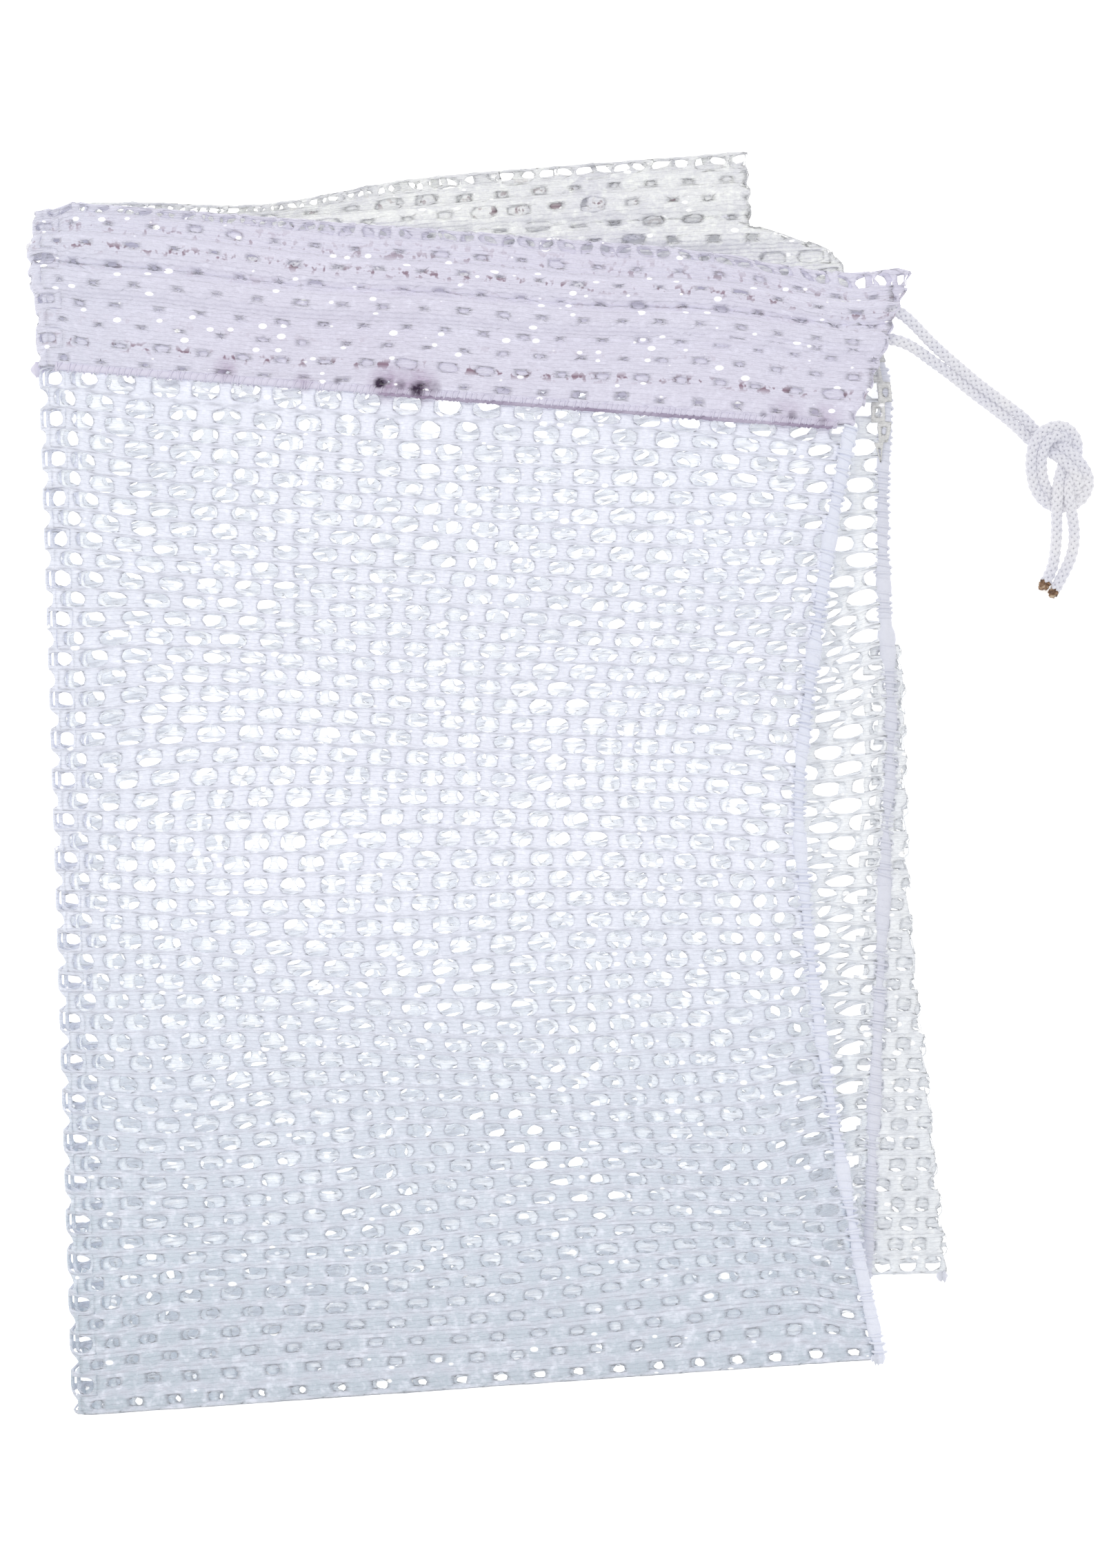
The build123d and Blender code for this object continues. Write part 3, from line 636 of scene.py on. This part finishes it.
def net_pattern(cells, hole, jitter, fullness):
    """The knitted yarn round these meshes: a rim, a thicker middle and a shared lattice, on both faces.

    Gives (u, v) in pitches and rows, the offset off the sheet, how thick the yarn is from 0 to 1, and the
    quads, with the flat quads and triangles that close it where another piece of net carries on.
    """
    cells = np.array(cells)
    n = len(cells)
    centre = 4 * cells[:, 0] + 2 * (cells[:, 1] % 2)
    ring = np.array(RING)
    across = np.sign(np.cos(RING_ANGLES)) * np.abs(np.cos(RING_ANGLES)) ** HOLE_POWER * hole[0] / PITCH
    along = np.sign(np.sin(RING_ANGLES)) * np.abs(np.sin(RING_ANGLES)) ** HOLE_POWER * hole[1] / ROW
    size = 1 + 0.07 * jitter * rng.standard_normal((n, 2))
    size = np.clip(size, 0.6, 1.08) * fullness(cells[:, 1])[:, None]
    shift = jitter * rng.standard_normal((n, 2)) * (0.022, 0.018)
    rim_u = centre[:, None] / 4 + shift[:, :1] + across * size[:, :1]
    rim_v = cells[:, 1:] + 0.5 + shift[:, 1:] + along * size[:, 1:]
    rim = np.stack([rim_u, rim_v], -1) + rng.standard_normal((n, 16, 2)) * (0.013, 0.014) * jitter

    k = centre[:, None] + ring[:, 0]
    q = 4 * cells[:, 1:] + ring[:, 1]
    keys = np.stack([k.ravel(), q.ravel()], 1)
    lattice, inverse, used = np.unique(keys, axis=0, return_inverse=True, return_counts=True)
    inverse = inverse.reshape(n, 16)
    row_line = lattice[:, 1] % 4 == 0
    even = lattice[:, 0] % 2 == 0
    thick = np.where(row_line, np.where(even, CROSSING, BAR), PILLAR)
    edge = used < np.where(row_line & even, 3, 2)
    wander = jitter * 0.012 * rng.standard_normal(lattice.shape)
    lattice_uv = lattice / 4 + wander
    rows_seen = lattice[:, 1]
    inside_edge = (np.abs(lattice[:, 0]) <= 4) & (rows_seen > rows_seen.min()) & (rows_seen < rows_seen.max())
    thin_edge = edge & ~inside_edge
    top_thick = np.where(thin_edge, 0.0, thick)

    middle = rim + 0.42 * (lattice_uv[inverse] - rim)
    middle_thick = 0.86 * thick[inverse]
    rim, middle = rim.reshape(-1, 2), middle.reshape(-1, 2)
    middle_thick, own_thick = middle_thick.ravel(), thick[inverse].ravel()
    uv = np.concatenate([rim, middle, middle, lattice_uv, lattice_uv])
    off = np.concatenate([np.zeros(16 * n), middle_thick, -middle_thick, top_thick, -top_thick])
    yarn = np.concatenate([0.8 * own_thick, own_thick, own_thick, thick, thick])
    here = np.arange(16)
    after = (here + 1) % 16
    rim_at = (np.arange(n) * 16)[:, None]
    top_at, low_at = rim_at + 16 * n, rim_at + 32 * n
    lattice_top = 48 * n + inverse
    low_number = 48 * n + np.arange(len(lattice)) + np.where(thin_edge, 0, len(lattice))
    lattice_low = low_number[inverse]
    sides = [
        (rim_at + here, top_at + here, top_at + after, rim_at + after),
        (top_at + here, lattice_top[:, here], lattice_top[:, after], top_at + after),
        (rim_at + after, low_at + after, low_at + here, rim_at + here),
        (low_at + after, lattice_low[:, after], lattice_low[:, here], low_at + here),
    ]
    quads = np.concatenate([np.stack(side, -1).reshape(-1, 4) for side in sides])

    # full-thickness sides where the next piece of net carries on
    steps = np.stack([inverse, inverse[:, after]], -1).reshape(-1, 2)
    _, first, times = np.unique(np.sort(steps, axis=1), axis=0, return_index=True, return_counts=True)
    a, b = steps[first[times == 1]].T
    whole = ~thin_edge[a] & ~thin_edge[b]
    walls = np.stack([48 * n + b, 48 * n + a, low_number[a], low_number[b]], -1)[whole]
    starts = ~thin_edge[a] & thin_edge[b]
    ends = thin_edge[a] & ~thin_edge[b]
    corners = np.concatenate([
        np.stack([48 * n + b, 48 * n + a, low_number[a]], -1)[starts],
        np.stack([48 * n + b, 48 * n + a, low_number[b]], -1)[ends],
    ])
    return uv, off, (yarn - BAR) / (PILLAR - BAR), quads, walls, corners


def net_piece(name, cells, place, material, hole, jitter=1.0, fullness=lambda row: np.ones(len(row))):
    """The net of these meshes, laid where place(u, v) says."""
    uv, off, yarn, quads, walls, corners = net_pattern(cells, hole, jitter, fullness)
    spot = place(uv[:, 0], uv[:, 1])
    step = 0.02
    along_u = place(uv[:, 0] + step, uv[:, 1]) - place(uv[:, 0] - step, uv[:, 1])
    along_v = place(uv[:, 0], uv[:, 1] + step) - place(uv[:, 0], uv[:, 1] - step)
    normal = unit(np.cross(along_u, along_v) + 1e-9)
    vertices = spot + normal * off[:, None]
    used = np.unique(quads)
    renumber = np.full(len(vertices), -1)
    renumber[used] = np.arange(len(used))
    return mesh_object(
        name, vertices[used], renumber[quads], material, uv[used], {"yarn": yarn[used]},
        renumber[walls], renumber[corners],
    )


# ---------------------------------------------------------------- where each layer of the net lies
FOLD_SPAN = {"outer": 0.62, "inner": 0.34}      # half the pitches that go round the left fold


def across_from_fold(count, columns, width, span):
    """How far right of the fold a mesh lies; the first columns are drawn together."""
    share = (count - span) / (columns - span)
    return width * share * (1 - 0.30 * np.exp(-14 * np.clip(share, 0, None)))


def ripple(x, y, seed, size):
    """A slow wander of a layer over the table, in x and y."""
    wander = np.random.default_rng(seed)
    dx, dy = np.zeros_like(x), np.zeros_like(y)
    for wave in (150.0, 95.0, 60.0):
        angle, phase, phase2 = wander.uniform(0, 2 * np.pi, 3)
        run = 2 * np.pi * (x * math.cos(angle) + y * math.sin(angle)) / wave
        dx = dx + size * wave / 150 * np.sin(run + phase)
        dy = dy + size * wave / 150 * np.sin(run + phase2)
    return dx, dy


def wall_place(wall):
    """place(u, v) for one wall: u is below 0 in the rear half and above it in the front half."""
    seeds = {"outer": (11, 12), "inner": (23, 24)}[wall]
    z_rear, z_front = BASE["rear_" + wall] + 0.5, BASE["front_" + wall] + 0.5
    span = FOLD_SPAN[wall]
    middle, reach = (z_rear + z_front) / 2, (z_front - z_rear) / 2

    def half_place(half, count, v, seed):
        share_up = v / WALL_ROWS
        y = mixed(bottom_y(half, 0.0), hem_y(half, 0.0), share_up)
        for _ in range(4):
            x = FOLD_X + across_from_fold(count, COLUMNS - 0.4, SEAM_X[half](y) - FOLD_X, span)
            y = mixed(bottom_y(half, x), hem_y(half, x), share_up)
        past = np.maximum(x - SEAM_X[half](y) - 0.2, 0)
        x = x - 0.85 * past      # the last meshes are caught in the side seam
        inside = smooth_step(0, 0.12, (x - FOLD_X) / 190) * smooth_step(0, 0.1, (SEAM_X[half](y) - x) / 190)
        inside = inside * smooth_step(0, 0.04, share_up) * smooth_step(0, 0.03, 1 - share_up)
        dx, dy = ripple(x, y, seed, 1.5)
        lift = 0.16 * np.sin(x / 23 + seed) * np.sin(y / 31 + 2 * seed)
        return x + dx * inside, y + dy * inside, lift

    def place(u, v):
        count = np.abs(u)
        round_fold = np.clip(u / span, -1, 1) * np.pi / 2
        weight = (np.sin(round_fold) + 1) / 2
        xr, yr, lift_r = half_place("rear", np.maximum(count, span), v, seeds[0])
        xf, yf, lift_f = half_place("front", np.maximum(count, span), v, seeds[1])
        x = np.where(u < 0, xr, xf)
        y = mixed(yr, yf, np.where(count < span, weight, u > 0))
        x = x - reach * 0.98 * np.cos(round_fold)
        lift = np.where(count < span, 0, np.where(u < 0, lift_r, lift_f))
        z = middle + reach * np.sin(round_fold) + lift
        return np.stack([x, y, z], 1)

    return place


OTHER = {"outer": "inner", "inner": "outer"}
WALLS = {"outer": wall_place("outer"), "inner": wall_place("inner")}
BOTTOM_TURN = 0.5                # rows that go round the bottom fold


def wall_layer(wall):
    """The wall's place, closing towards the other wall at the bottom fold."""

    def place(u, v):
        low = np.clip((BOTTOM_TURN - v) / BOTTOM_TURN, 0, 1)
        pull = (1 - np.sqrt(np.clip(1 - low * low, 0, 1)))[:, None]
        here = WALLS[wall](u, v)
        there = WALLS[OTHER[wall]](u, v)
        there[:, :2] = mixed(here[:, :2], there[:, :2], 0.5)
        return mixed(here, (here + there) / 2, pull)

    return place


CASING_ROWS = 8.9                # rows from the hem seam to the casing's top fold
CASING_TURN = 0.35
HEADING, HEADING_ROWS = 2.6, 0.9    # the low row of open meshes along the top fold
MOUTH_SAG = 3.8                  # how far the rear casing's top edge dips near the left


def ridge(across, lane):
    return RISE * smooth_step(4.4, 1.4, np.abs(across - lane))


def casing_place(wall):
    """place(u, v) for one casing: v runs up the outward ply to the top fold, and down the turned-in ply."""
    span = FOLD_SPAN[wall]
    seed = {"outer": 5, "inner": 6}[wall]

    def heights(half, across, upper):
        base = BASE[half + "_" + wall]
        below = (half, wall) in (("rear", "inner"), ("front", "outer"))
        under = ridge(across, LANES[OTHER[wall]]) if below else 0.0
        own = ridge(across, LANES[wall])
        low = base + 0.45 + under
        high = base + 1.35 + np.maximum(under, own)
        return np.where(upper, high, low)

    def place(u, v):
        count = np.abs(u)
        far = across_from_fold(np.maximum(count, span), COLUMNS - 0.4, 193.0, span)
        from_top = v - CASING_ROWS
        down = np.abs(from_top)
        heading = HEADING + 2.0 * smooth_step(165, 200, far)
        across = np.where(
            down < HEADING_ROWS, BAND - heading * down / HEADING_ROWS,
            (BAND - heading) * (1 - (down - HEADING_ROWS) / (CASING_ROWS - HEADING_ROWS)),
        )
        turn = np.clip(from_top / CASING_TURN, -1, 1) * np.pi / 2
        weight_in = (np.sin(turn) + 1) / 2
        z = {}
        for half, out_upper in (("rear", False), ("front", True)):
            outward = heights(half, across, out_upper)
            inward = heights(half, across, not out_upper)
            z[half] = mixed(outward, inward, weight_in)
        round_fold = np.clip(u / span, -1, 1) * np.pi / 2
        weight = (np.sin(round_fold) + 1) / 2
        x = FOLD_X + far
        y_front = hem_y("front", x) + across / math.cos(TILT["front"])
        y_rear = hem_y("rear", x) + across / math.cos(TILT["rear"])
        sag = MOUTH_SAG * np.exp(-(((x + 52) / 26) ** 2)) * smooth_step(30.5, BAND, across)
        y_rear = y_rear - sag
        corner = 2.2 * smooth_step(7, 0, far) * smooth_step(28, BAND, across)
        dip = 3.0 * smooth_step(45, 92, x) - 1.9 * smooth_step(92, 106, x)
        y_front = y_front - corner - dip * smooth_step(10, BAND, across)
        y_rear = y_rear - corner
        dx, dy = ripple(x, y_front, seed, 0.9)
        inside = smooth_step(0, 12, far) * smooth_step(0, 5, across) * smooth_step(0, 4, BAND - across)
        y = np.where(u < 0, y_rear, y_front)
        y = np.where(count < span, mixed(y_rear, y_front, weight), y)
        middle, reach = (z["rear"] + z["front"]) / 2, (z["front"] - z["rear"]) / 2
        x = x - reach * 0.97 * np.cos(round_fold) + dx * inside
        spot_z = middle + reach * np.sin(round_fold)
        return np.stack([x, y + dy * inside, spot_z], 1)

    return place


# ---------------------------------------------------------------- what the nets are made of
FLECKED_ROWS = ((1.45, 0.9), (2.7, 0.2), (5.4, 0.35), (6.3, 0.85), (7.3, 0.6), (7.8, 0.3))
STAIN_SPOTS = (                  # place, radius and strength along the front hem
    ((-21.5, 98.6, 8.2), 6.0, 0.9), ((-14.0, 97.8, 8.2), 6.0, 0.9), ((-23.7, 98.8, 8.2), 2.1, 3.4),
    ((-14.4, 96.9, 8.2), 2.7, 2.8), ((-18.5, 98.3, 8.2), 1.9, 1.8), ((-10.4, 97.3, 8.2), 2.6, 1.0),
    ((-34.1, 99.8, 8.2), 1.6, 1.8), ((-61.2, 103.6, 8.2), 4.0, 0.7), ((-42.3, 99.6, 8.2), 3.2, 0.6),
    ((76.0, 88.0, 8.2), 6.0, 0.45), ((85.5, 86.6, 8.2), 5.0, 0.5),
    ((70.2, 88.2, 8.2), 1.6, 1.6), ((77.4, 87.6, 8.2), 1.9, 1.8), ((84.8, 85.8, 8.2), 1.7, 1.6),
)


def dotted(shader, colour):
    """Dark brown-purple dots along rows of the casing, and the stain on the hem."""
    spots = shader.over(shader.noise(420.0, 2.0, 0.6), 0.55, 14.0)
    up = shader.pattern()["Y"]
    for row, strength in FLECKED_ROWS:
        distance = shader.math("ABSOLUTE", shader.math("SUBTRACT", up, row))
        amount = shader.times(shader.times(shader.fading(distance, 2.6), spots), strength)
        colour = shader.mix(amount, colour, FLECK)
    return stained(shader, colour)


def stained(shader, colour):
    """A purple stain with black specks in it."""
    speckle = shader.noise(700.0, 2.0, 0.6)
    for place, radius, strength in STAIN_SPOTS:
        amount = shader.times(near(shader, place, radius), shader.plus(speckle, 0.15))
        amount = shader.times(amount, strength, clamp=True)
        colour = shader.mix(amount, colour, STAIN if radius > 3 else INK)
    return colour


# every net below glows: painted light, an emission that lifts the plies out of the shade the plies round them
# cast, most in the plies that lie underneath
NET_FRONT = net_material("front_net", LAVENDER, LAVENDER_DEEP, PAINTED_GLOW, stained)
NET_WITHIN = net_material("inner_net", INNER, INNER_DEEP, 0.43, holes=(430.0, 0.42, 0.6), low_share=0.6)
NET_REAR = net_material(
    "rear_net", INNER, INNER_DEEP, 0.24, glow_under_front=0.13, holes=(430.0, 0.40, 0.5), low_share=0.5
)
NET_RAW = net_material(
    "raw_edge_net", INNER, INNER_DEEP, 0.19, holes=(430.0, 0.40, 0.5), low_share=0.15, rim=0.4
)
CASING_FRONT = net_material(
    "front_casing_net", MAUVE, MAUVE_DEEP, 0.45, dotted, holes=(360.0, 0.27, 0.8), rim=0.05
)
CASING_REAR = net_material("rear_casing_net", CREAM, MAUVE, 0.24, dotted, holes=(380.0, 0.30, 0.7), rim=0.1)
NET_TURNED = net_material("turned_allowance", (0.72, 0.72, 0.70), (0.64, 0.64, 0.64), 0.14)

# ---------------------------------------------------------------- the walls and their folds
WALL_NET = {
    "front_outer": NET_FRONT, "front_inner": NET_WITHIN, "rear_outer": NET_REAR, "rear_inner": NET_REAR,
}


def wall_fullness(row):
    """Meshes are drawn tighter towards the bottom fold."""
    row = np.asarray(row, float)
    return 1 - 0.16 * smooth_step(20, 8, row) - 0.35 * smooth_step(6, 1.5, row)


for wall in ("outer", "inner"):
    place = wall_layer(wall)
    rows = range(WALL_ROWS)
    for half, way in (("front", 1), ("rear", -1)):
        name = f"{half}_{wall}"
        cells = half_cells(way, COLUMNS - 0.5, rows)
        net = net_piece(name + "_net", cells, place, WALL_NET[name], HOLES[name], 1.0, wall_fullness)
        nodes = [name + "_wall"] + ([half + "_bottom_fold"] if wall == "outer" else [])
        fitted(net, half + "_half", "net_mesh", *nodes)
    cells = cells_between(-0.5, 0.5, rows)
    strip = net_piece(wall + "_fold_net", cells, place, NET_FRONT, HOLES["front_inner"])
    fitted(strip, None, "net_mesh", wall + "_side_fold")


# ---------------------------------------------------------------- the casings and their folds
def casing_fullness(row):
    """Open meshes along the top fold, tighter ones below it and in the turned-in ply."""
    row = np.asarray(row, float)
    uneven = 0.14 + 0.55 * rng.random(len(row)) ** 2
    uneven = np.where(row == 1, 0.35 + uneven, uneven)
    return np.where((row == 8) | (row == 9), 1.72, uneven)


def rear_casing_fullness(row):
    """The rear casing is less drawn up, so its meshes are more open."""
    return np.minimum(2.1 * casing_fullness(row), 1.72)


# the casings' cut ends: how far right of the fold, at heights up from the hem
REAR_MOUTH = [(0.0, 199.5), (2.1, 199.0), (14.4, 192.4), (17.9, 184.0), (21.0, 172.4), (42.0, 171.6)]
FRONT_MOUTH = [(0.0, 195.0), (12.0, 201.0), (26.0, 206.0), (33.0, 208.5), (42.0, 212.0)]


def ending_at(place, half, mouth):
    """The same place(u, v), with the meshes past the casing's cut end drawn back to it."""
    across_mouth, far_mouth = zip(*mouth)

    def placed(u, v):
        spot = place(u, v)
        across = spot[:, 1] - hem_y(half, spot[:, 0])
        end = FOLD_X + np.interp(across, across_mouth, far_mouth) + 0.5 * np.sin(across * 1.3)
        spot[:, 0] -= 0.9 * np.maximum(spot[:, 0] - end, 0)
        return spot

    return placed


def up_to_mouth(cells, place, half, mouth):
    """The meshes that reach the casing's cut end, or stop short of it."""
    u = np.array([i + 0.5 * (j % 2) for i, j in cells], float)
    v = np.array([j + 0.5 for i, j in cells], float)
    spot = place(u, v)
    across = spot[:, 1] - hem_y(half, spot[:, 0])
    end = np.interp(across, *zip(*mouth))
    return [cell for cell, x, far in zip(cells, spot[:, 0], end) if x - FOLD_X < far + 3.0]


for wall in ("outer", "inner"):
    place = casing_place(wall)
    rows = range(int(2 * CASING_ROWS))
    for half, way, mouth, material in (
        ("front", 1, FRONT_MOUTH, CASING_FRONT), ("rear", -1, REAR_MOUTH, CASING_REAR)
    ):
        cells = up_to_mouth(half_cells(way, COLUMNS + 3, rows), place, half, mouth)
        hole = HOLES["casing" if half == "front" else "rear_casing"]
        net = net_piece(
            f"{half}_{wall}_casing_net", cells, ending_at(place, half, mouth), material, hole, 1.6,
            casing_fullness if half == "front" else rear_casing_fullness,
        )
        fitted(net, half + "_half", "casing_net", f"{half}_{wall}_casing")
    cells = cells_between(-0.5, 0.5, rows)
    strip = net_piece(wall + "_casing_fold_net", cells, place, CASING_FRONT, HOLES["casing"])
    fitted(strip, None, "casing_net", wall + "_casing_fold")


# ---------------------------------------------------------------- sewn seams
def stitched(name, points, half_width, half_height, pitch, thread, material, lumps=0.12):
    """A gathered seam: a soft core with overlocking thread wound round it."""
    core = nurbs_line(points, 1.2)
    size = half_width * (1 + lumps * np.convolve(rng.standard_normal(len(core) + 6), np.ones(7) / 3, "valid"))
    parts = [sweep(core, (0, 0, 1), 0.82 * size, 10, half_height / half_width)]
    line = nurbs_line(points, pitch / 10)
    far = distance_along(line)
    angle = 2 * np.pi * far / pitch
    along, up, side = round_line(line)
    knots = np.arange(0, far[-1] + pitch, pitch)
    widths = np.interp(far, knots, 1.0 + 0.16 * rng.standard_normal(len(knots)))
    slip = np.interp(far, knots, 0.35 * pitch * rng.standard_normal(len(knots)))
    out = side * np.cos(angle)[:, None] + up * np.sin(angle)[:, None] * half_height / half_width
    wound = line + out * (half_width * widths)[:, None] + along * slip[:, None]
    wound[:, 2] = np.maximum(wound[:, 2], thread)
    parts.append(sweep(wound, unit(out), thread, 5))
    return mesh_object(name, *joined(parts), material)


def thread_material(name, light, deep, tint=None):
    shader = Shader(name)
    patches = shader.noise(60.0, 2.0)
    fibres = shader.noise(1300.0, 3.0, 0.6)
    colour = shader.mix(patches, deep, light)
    colour = shader.mix(shader.times(fibres, 0.4), colour, scaled(deep, 0.78))
    if tint:
        colour = tint(shader, colour)
    # painted light: the thread glows a little, an emission that lifts its shade
    shader.paint(colour, 0.22)
    shader.bump(fibres, 0.5, 0.00018)
    shader.set(Roughness=0.75, Sheen_Weight=0.3, Specular_IOR_Level=0.2)
    return shader.material


THREAD_FRONT = thread_material("front_thread", (0.71, 0.73, 0.81), (0.64, 0.66, 0.75))
THREAD_REAR = thread_material("rear_thread", (0.66, 0.67, 0.74), (0.58, 0.59, 0.66))
THREAD_HEM = thread_material("hem_thread", (0.66, 0.64, 0.74), (0.56, 0.54, 0.65), stained)
THREAD_DARK = thread_material("dark_hem_thread", (0.66, 0.63, 0.74), (0.13, 0.08, 0.17), stained)

for half, height, material, thread in (
    ("front", 7.9, THREAD_FRONT, 0.34), ("rear", 1.6, THREAD_REAR, 0.30)
):
    line = SEAM_LINES[half]
    top_x, end_x = line[0][0], line[-1][0]
    top_y = hem_y(half, top_x)
    points = [(top_x - 0.6, top_y, height)]
    points += [(x, y, height) for x, y in line[1:-1] if y < top_y - 4]
    points.append((end_x - 0.6, bottom_y(half, end_x) + 0.5, height))
    seam = stitched(half + "_side_stitching", points, 1.7, 1.15, 1.7, thread, material, 0.22)
    fitted(seam, half + "_half", "seam_thread", half + "_side_seam")

for half in ("front", "rear"):
    for wall in ("outer", "inner"):
        z = BASE[f"{half}_{wall}"] + (1.5 if wall == "outer" and half == "front" else 0.9)
        end = 88.4 if half == "front" else 95.0
        xs = np.linspace(FOLD_X + 0.6, end, 9)
        points = [(x, hem_y(half, x), z) for x in xs]
        hem = stitched(f"{half}_{wall}_hem_stitching", points, 1.0, 0.55, 1.5, 0.2, THREAD_HEM, 0.06)
        fitted(hem, half + "_half", "seam_thread", f"{half}_{wall}_hem_seam")

# the machine's dark thread, which shows along the right of the front hem
xs = np.linspace(-24.0, 87.0, 12)
points = [(x, hem_y("front", x) - 0.9, BASE["front_outer"] + 2.0) for x in xs]
dark_line = stitched("front_hem_dark_thread", points, 0.42, 0.25, 2.3, 0.16, THREAD_DARK, 0.3)
fitted(dark_line, "front_half", "seam_thread")


def turned_place(u, v):
    """Where the allowance lies that is turned in at the top of the rear seam."""
    y = 76.0 + v * ROW
    x = SEAM_X["rear"](y) - 0.6 + (u - 0.4) * 3.4 * smooth_step(-0.5, 2.0, v)
    return np.stack([x, y, 2.95 + 0.15 * np.sin(v * 2.1)], 1)


cells = cells_between(0.0, 0.5, range(6))
turned = net_piece("rear_turned_allowance", cells, turned_place, NET_TURNED, (1.9, 1.0), 1.5)
fitted(turned, "rear_half", "net_mesh")


def lump(name, place, radius, material, body=None):
    """A small knot of thread at a seam's end. One with no body is halfway round the fold."""
    places = np.linspace(0, 1, 11)
    line = np.array(place) + np.stack([(places - 0.5) * 2 * radius, 0 * places, 0 * places], 1)
    radii = radius * np.sqrt(np.clip(1 - (2 * places - 1) ** 2, 0.03, 1))
    radii = radii * (1 + 0.15 * rng.standard_normal(11))
    fitted(mesh_object(name, *sweep(line, (0, 0, 1), radii, 10), material), body, "seam_thread")


lump("hem_end_at_fold", (-108.2, 105.4, 4.25), 1.7, THREAD_HEM)
lump("front_seam_end", (91.2, -144.6, 7.6), 1.8, THREAD_FRONT, "front_half")
lump("raw_edge_corner", (108.2, -125.8, 1.5), 1.4, THREAD_REAR, "rear_half")


# ---------------------------------------------------------------- the raw allowance outside the rear seam
RAW_START = -130.0               # the lowest row of the allowance
RAW_PITCH = 6.4                  # its meshes are drawn together by the seam


def across_allowance(u, y, shift):
    return SEAM_X["rear"](y) + (u + 0.7 * shift) * RAW_PITCH


def allowance_layer(height, shift):
    """place(u, v) for one ply of the allowance, with the meshes past its raw edge drawn back to it."""

    def place(u, v):
        y = RAW_START + (v + shift) * ROW
        x = across_allowance(u, y, shift)
        tooth = (y / (2 * ROW) + 0.5 * shift) % 1.0
        end = raw_edge_x(y) - 0.9 + 2.1 * (1 - tooth) * smooth_step(0, 0.18, tooth)
        x = x - 0.92 * np.maximum(x - end, 0)
        lift = 0.22 * np.sin(y / 9 + shift) * np.clip(u, 0, 2)
        return np.stack([x, y, height + np.abs(lift)], 1)

    return place


for name, height, shift, nodes in (
    ("raw_edge_net", 1.6, 0.0, ["rear_raw_edge"]), ("raw_edge_lower_net", 0.5, 0.5, []),
):
    place = allowance_layer(height, shift)
    cells = cells_between(-0.5, 4.0, range(0, 32))
    centres = np.array([(i + 0.5 * (j % 2), j + 0.5) for i, j in cells])
    spots = place(centres[:, 0], centres[:, 1])
    across = across_allowance(centres[:, 0], spots[:, 1], shift)
    cells = [
        cell for cell, spot, x in zip(cells, spots, across)
        if x < raw_edge_x(spot[1]) + 3.2 and spot[1] > bottom_y("rear", spot[0]) + 1.0
    ]
    net = net_piece(name, cells, place, NET_RAW, (2.7, 1.6), 1.6)
    fitted(net, "rear_half", "net_mesh", *nodes)

# ---------------------------------------------------------------- the drawcord inside the casings
REAR_END, FRONT_END = 163.0, 203.4    # how far along the casings the hidden cord goes


def hidden_cord(name, points, body, node, step=0.3, sides=6):
    """A length of the cord inside the casings."""
    vertices, quads, _ = braid(points, step, sides)
    fitted(mesh_object(name, vertices, quads, BRAIDED), body, "drawcord_braid", node)


def in_band(half, along, across, z):
    """A point this far along a casing from the fold, and this far up from its hem."""
    c, s = math.cos(TILT[half]), math.sin(TILT[half])
    return (FOLD_X + c * along - s * across, HEM_Y + s * along + c * across, z)


def along_at_fold(half, across):
    c, s = math.cos(TILT[half]), math.sin(TILT[half])
    return s * across / c


for wall in ("outer", "inner"):
    lane = LANES[wall]
    for half, end, body in (("rear", REAR_END, "rear_half"), ("front", FRONT_END, "drawcord")):
        z = BASE[f"{half}_{wall}"] + CORD_LIFT
        start = along_at_fold(half, lane) + (0.3 if half == "front" else 0.0)
        points = [in_band(half, a, lane, z) for a in np.linspace(start, end, 9)]
        casing = f"{half}_{wall}_casing"
        hidden_cord("cord_inside_" + casing, points, body, "cord_in_" + casing, 0.45, 5)
    low, high = BASE["rear_" + wall] + CORD_LIFT, BASE["front_" + wall] + CORD_LIFT
    reach = (high - low) / 2 + 0.9
    rear_start, front_start = along_at_fold("rear", lane), along_at_fold("front", lane)
    points = [
        in_band("rear", rear_start, lane, low), in_band("rear", rear_start - reach * 0.6, lane, low),
        in_band("rear", rear_start - reach, lane, low + reach * 0.5),
        in_band("front", front_start - reach, lane, high - reach * 0.5),
        in_band("front", front_start - reach * 0.6, lane, high), in_band("front", front_start, lane, high),
    ]
    hidden_cord(f"cord_round_{wall}_fold", points, None, f"cord_turn_at_{wall}_fold")

half_lanes = (LANES["outer"] - LANES["inner"]) / 2
low, high = BASE["rear_outer"] + CORD_LIFT, BASE["rear_inner"] + CORD_LIFT
points = [
    in_band("rear", REAR_END, LANES["outer"], low),
    in_band("rear", REAR_END + half_lanes, LANES["outer"], low),
    in_band("rear", REAR_END + half_lanes * 1.5, LANES["inner"] + half_lanes, (low + high) / 2),
    in_band("rear", REAR_END + half_lanes, LANES["inner"], high),
    in_band("rear", REAR_END, LANES["inner"], high),
]
hidden_cord("cord_round_rear_seam", points, "rear_half", "cord_turn_at_rear_seam")
